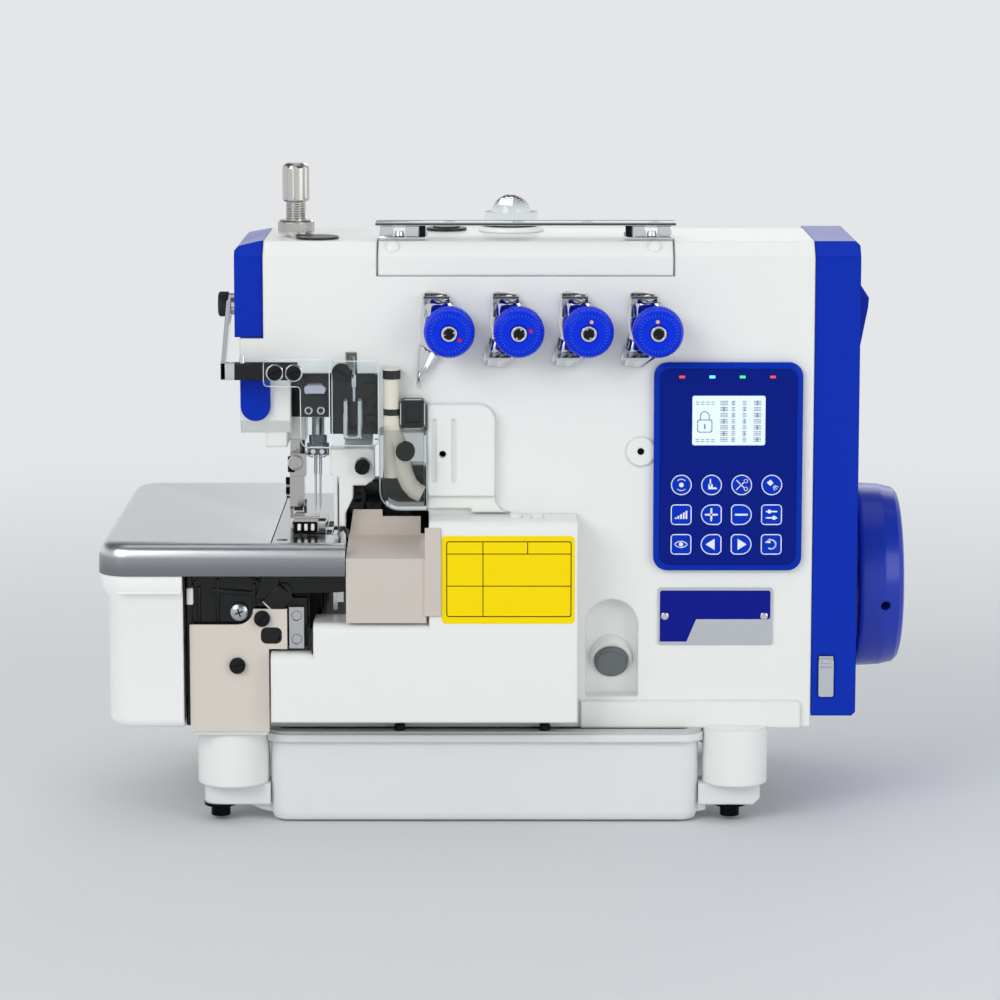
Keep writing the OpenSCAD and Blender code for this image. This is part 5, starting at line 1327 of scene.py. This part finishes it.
class OVERLOCK_OT_stage(bpy.types.Operator):
    """Set the plain floor, the soft lights and the camera"""

    bl_idname = "overlock.stage"
    bl_label = "Stage"

    def execute(self, context):
        scene = context.scene
        self.floor(scene)
        self.world(scene)
        for name, (place, aim, wide, tall, watts) in SOFTBOXES.items():
            data = bpy.data.lights.new(name, "AREA")
            data.shape, data.size, data.size_y, data.energy = "RECTANGLE", wide, tall, watts
            lamp = bpy.data.objects.new(name, data)
            lamp.location = place
            way = Vector((0, 0, aim)) - Vector(place)
            lamp.rotation_euler = way.to_track_quat("-Z", "Y").to_euler()
            scene.collection.objects.link(lamp)
        data = bpy.data.cameras.new("camera")
        data.lens, data.sensor_width, data.shift_y = LENS_MM, SENSOR_MM, SHIFT
        data.clip_start, data.clip_end = 0.05, 60
        camera = bpy.data.objects.new("camera", data)
        camera.location = CAMERA_PLACE
        camera.rotation_euler = (math.pi / 2 - CAMERA_TILT, 0, CAMERA_TURN)
        scene.collection.objects.link(camera)
        scene.camera = camera
        scene.view_settings.view_transform = "Standard"
        return {"FINISHED"}

    def floor(self, scene):
        """Matt paper that takes the machine's shadow and fades into the plain backdrop."""

        def fade_out(tree, place, paper):
            away = add(tree, "ShaderNodeVectorMath", {"operation": "LENGTH"}, {0: place})
            fade = add(
                tree, "ShaderNodeMapRange",
                {"interpolation_type": "SMOOTHSTEP", "From Min": 0.3, "From Max": 1.3},
                {"Value": away.outputs["Value"]},
            )
            share = add(
                tree, "ShaderNodeMath", {"operation": "MULTIPLY"},
                {0: fade.outputs["Result"], 1: seen_directly(tree)},
            )
            plain = add(tree, "ShaderNodeEmission", {"Color": colour(BACKDROP), "Strength": 1.0})
            return add(
                tree, "ShaderNodeMixShader",
                links={0: share.outputs[0], 1: paper, 2: plain.outputs[0]},
            ).outputs[0]

        bm = bmesh.new()
        bmesh.ops.create_grid(bm, x_segments=1, y_segments=1, size=FLOOR_REACH)
        mesh = bpy.data.meshes.new("floor")
        bm.to_mesh(mesh)
        bm.free()
        mesh.materials.append(surface(
            "pale_studio_paper", PAPER, {"Roughness": 0.85}, tint=(0.03, 300.0, 3.0), wrap=fade_out
        ))
        floor = bpy.data.objects.new("floor", mesh)
        floor.location.z = -0.0002
        scene.collection.objects.link(floor)

    def world(self, scene):
        """Soft even light, seen as a backdrop that darkens towards the ceiling."""
        world = bpy.data.worlds.new("studio")
        scene.world = world
        world.use_nodes = True
        tree = world.node_tree
        tree.nodes.clear()
        soft = add(tree, "ShaderNodeBackground", {"Color": colour("#e2e5e8"), "Strength": 0.76})
        place = add(tree, "ShaderNodeTexCoord").outputs["Generated"]
        height = add(tree, "ShaderNodeSeparateXYZ", links={"Vector": place}).outputs["Z"]
        rise = add(
            tree, "ShaderNodeMapRange",
            {"interpolation_type": "SMOOTHSTEP", "From Min": 0.12, "From Max": 0.6},
            {"Value": height},
        )
        shade = add(
            tree, "ShaderNodeMix",
            {"data_type": "RGBA", 6: colour(BACKDROP), 7: colour(CEILING)},
            {"Factor": rise.outputs["Result"]},
        )
        plain = add(tree, "ShaderNodeBackground", {"Strength": 1.0}, {"Color": shade.outputs[2]})
        both = add(
            tree, "ShaderNodeMixShader",
            links={0: seen_directly(tree), 1: soft.outputs[0], 2: plain.outputs[0]},
        )
        add(tree, "ShaderNodeOutputWorld", links={"Surface": both.outputs[0]})


class OVERLOCK_PT_panel(bpy.types.Panel):
    """Lists the finishing steps and their settings"""

    bl_label = "Overlock machine"
    bl_idname = "OVERLOCK_PT_panel"
    bl_space_type = "VIEW_3D"
    bl_region_type = "UI"
    bl_category = "Overlock"

    def draw(self, context):
        layout = self.layout
        for group in (context.scene.overlock_finishes, context.scene.overlock_sizes):
            for key in group.bl_rna.properties.keys():
                if key not in ("rna_type", "name"):
                    layout.prop(group, key)
        for step in STEPS:
            layout.operator(step.bl_idname)


STEPS = (
    OVERLOCK_OT_finishes,
    OVERLOCK_OT_control_panel,
    OVERLOCK_OT_plates,
    OVERLOCK_OT_tension_knobs,
    OVERLOCK_OT_moulded_parts,
    OVERLOCK_OT_guards,
    OVERLOCK_OT_needle_space,
    OVERLOCK_OT_suction,
    OVERLOCK_OT_under_plate,
    OVERLOCK_OT_top,
    OVERLOCK_OT_tension_straps,
    OVERLOCK_OT_fasteners,
    OVERLOCK_OT_stage,
)
CLASSES = (OverlockFinishes, OverlockSizes, *STEPS, OVERLOCK_PT_panel)


def register():
    for cls in CLASSES:
        bpy.utils.register_class(cls)
    bpy.types.Scene.overlock_finishes = PointerProperty(type=OverlockFinishes)
    bpy.types.Scene.overlock_sizes = PointerProperty(type=OverlockSizes)


def unregister():
    del bpy.types.Scene.overlock_sizes
    del bpy.types.Scene.overlock_finishes
    for cls in reversed(CLASSES):
        bpy.utils.unregister_class(cls)


def main():
    """Runs every finishing step in order."""
    register()
    for step in STEPS:
        group, verb = step.bl_idname.split(".")
        getattr(getattr(bpy.ops, group), verb)()


if __name__ == "__main__":
    main()
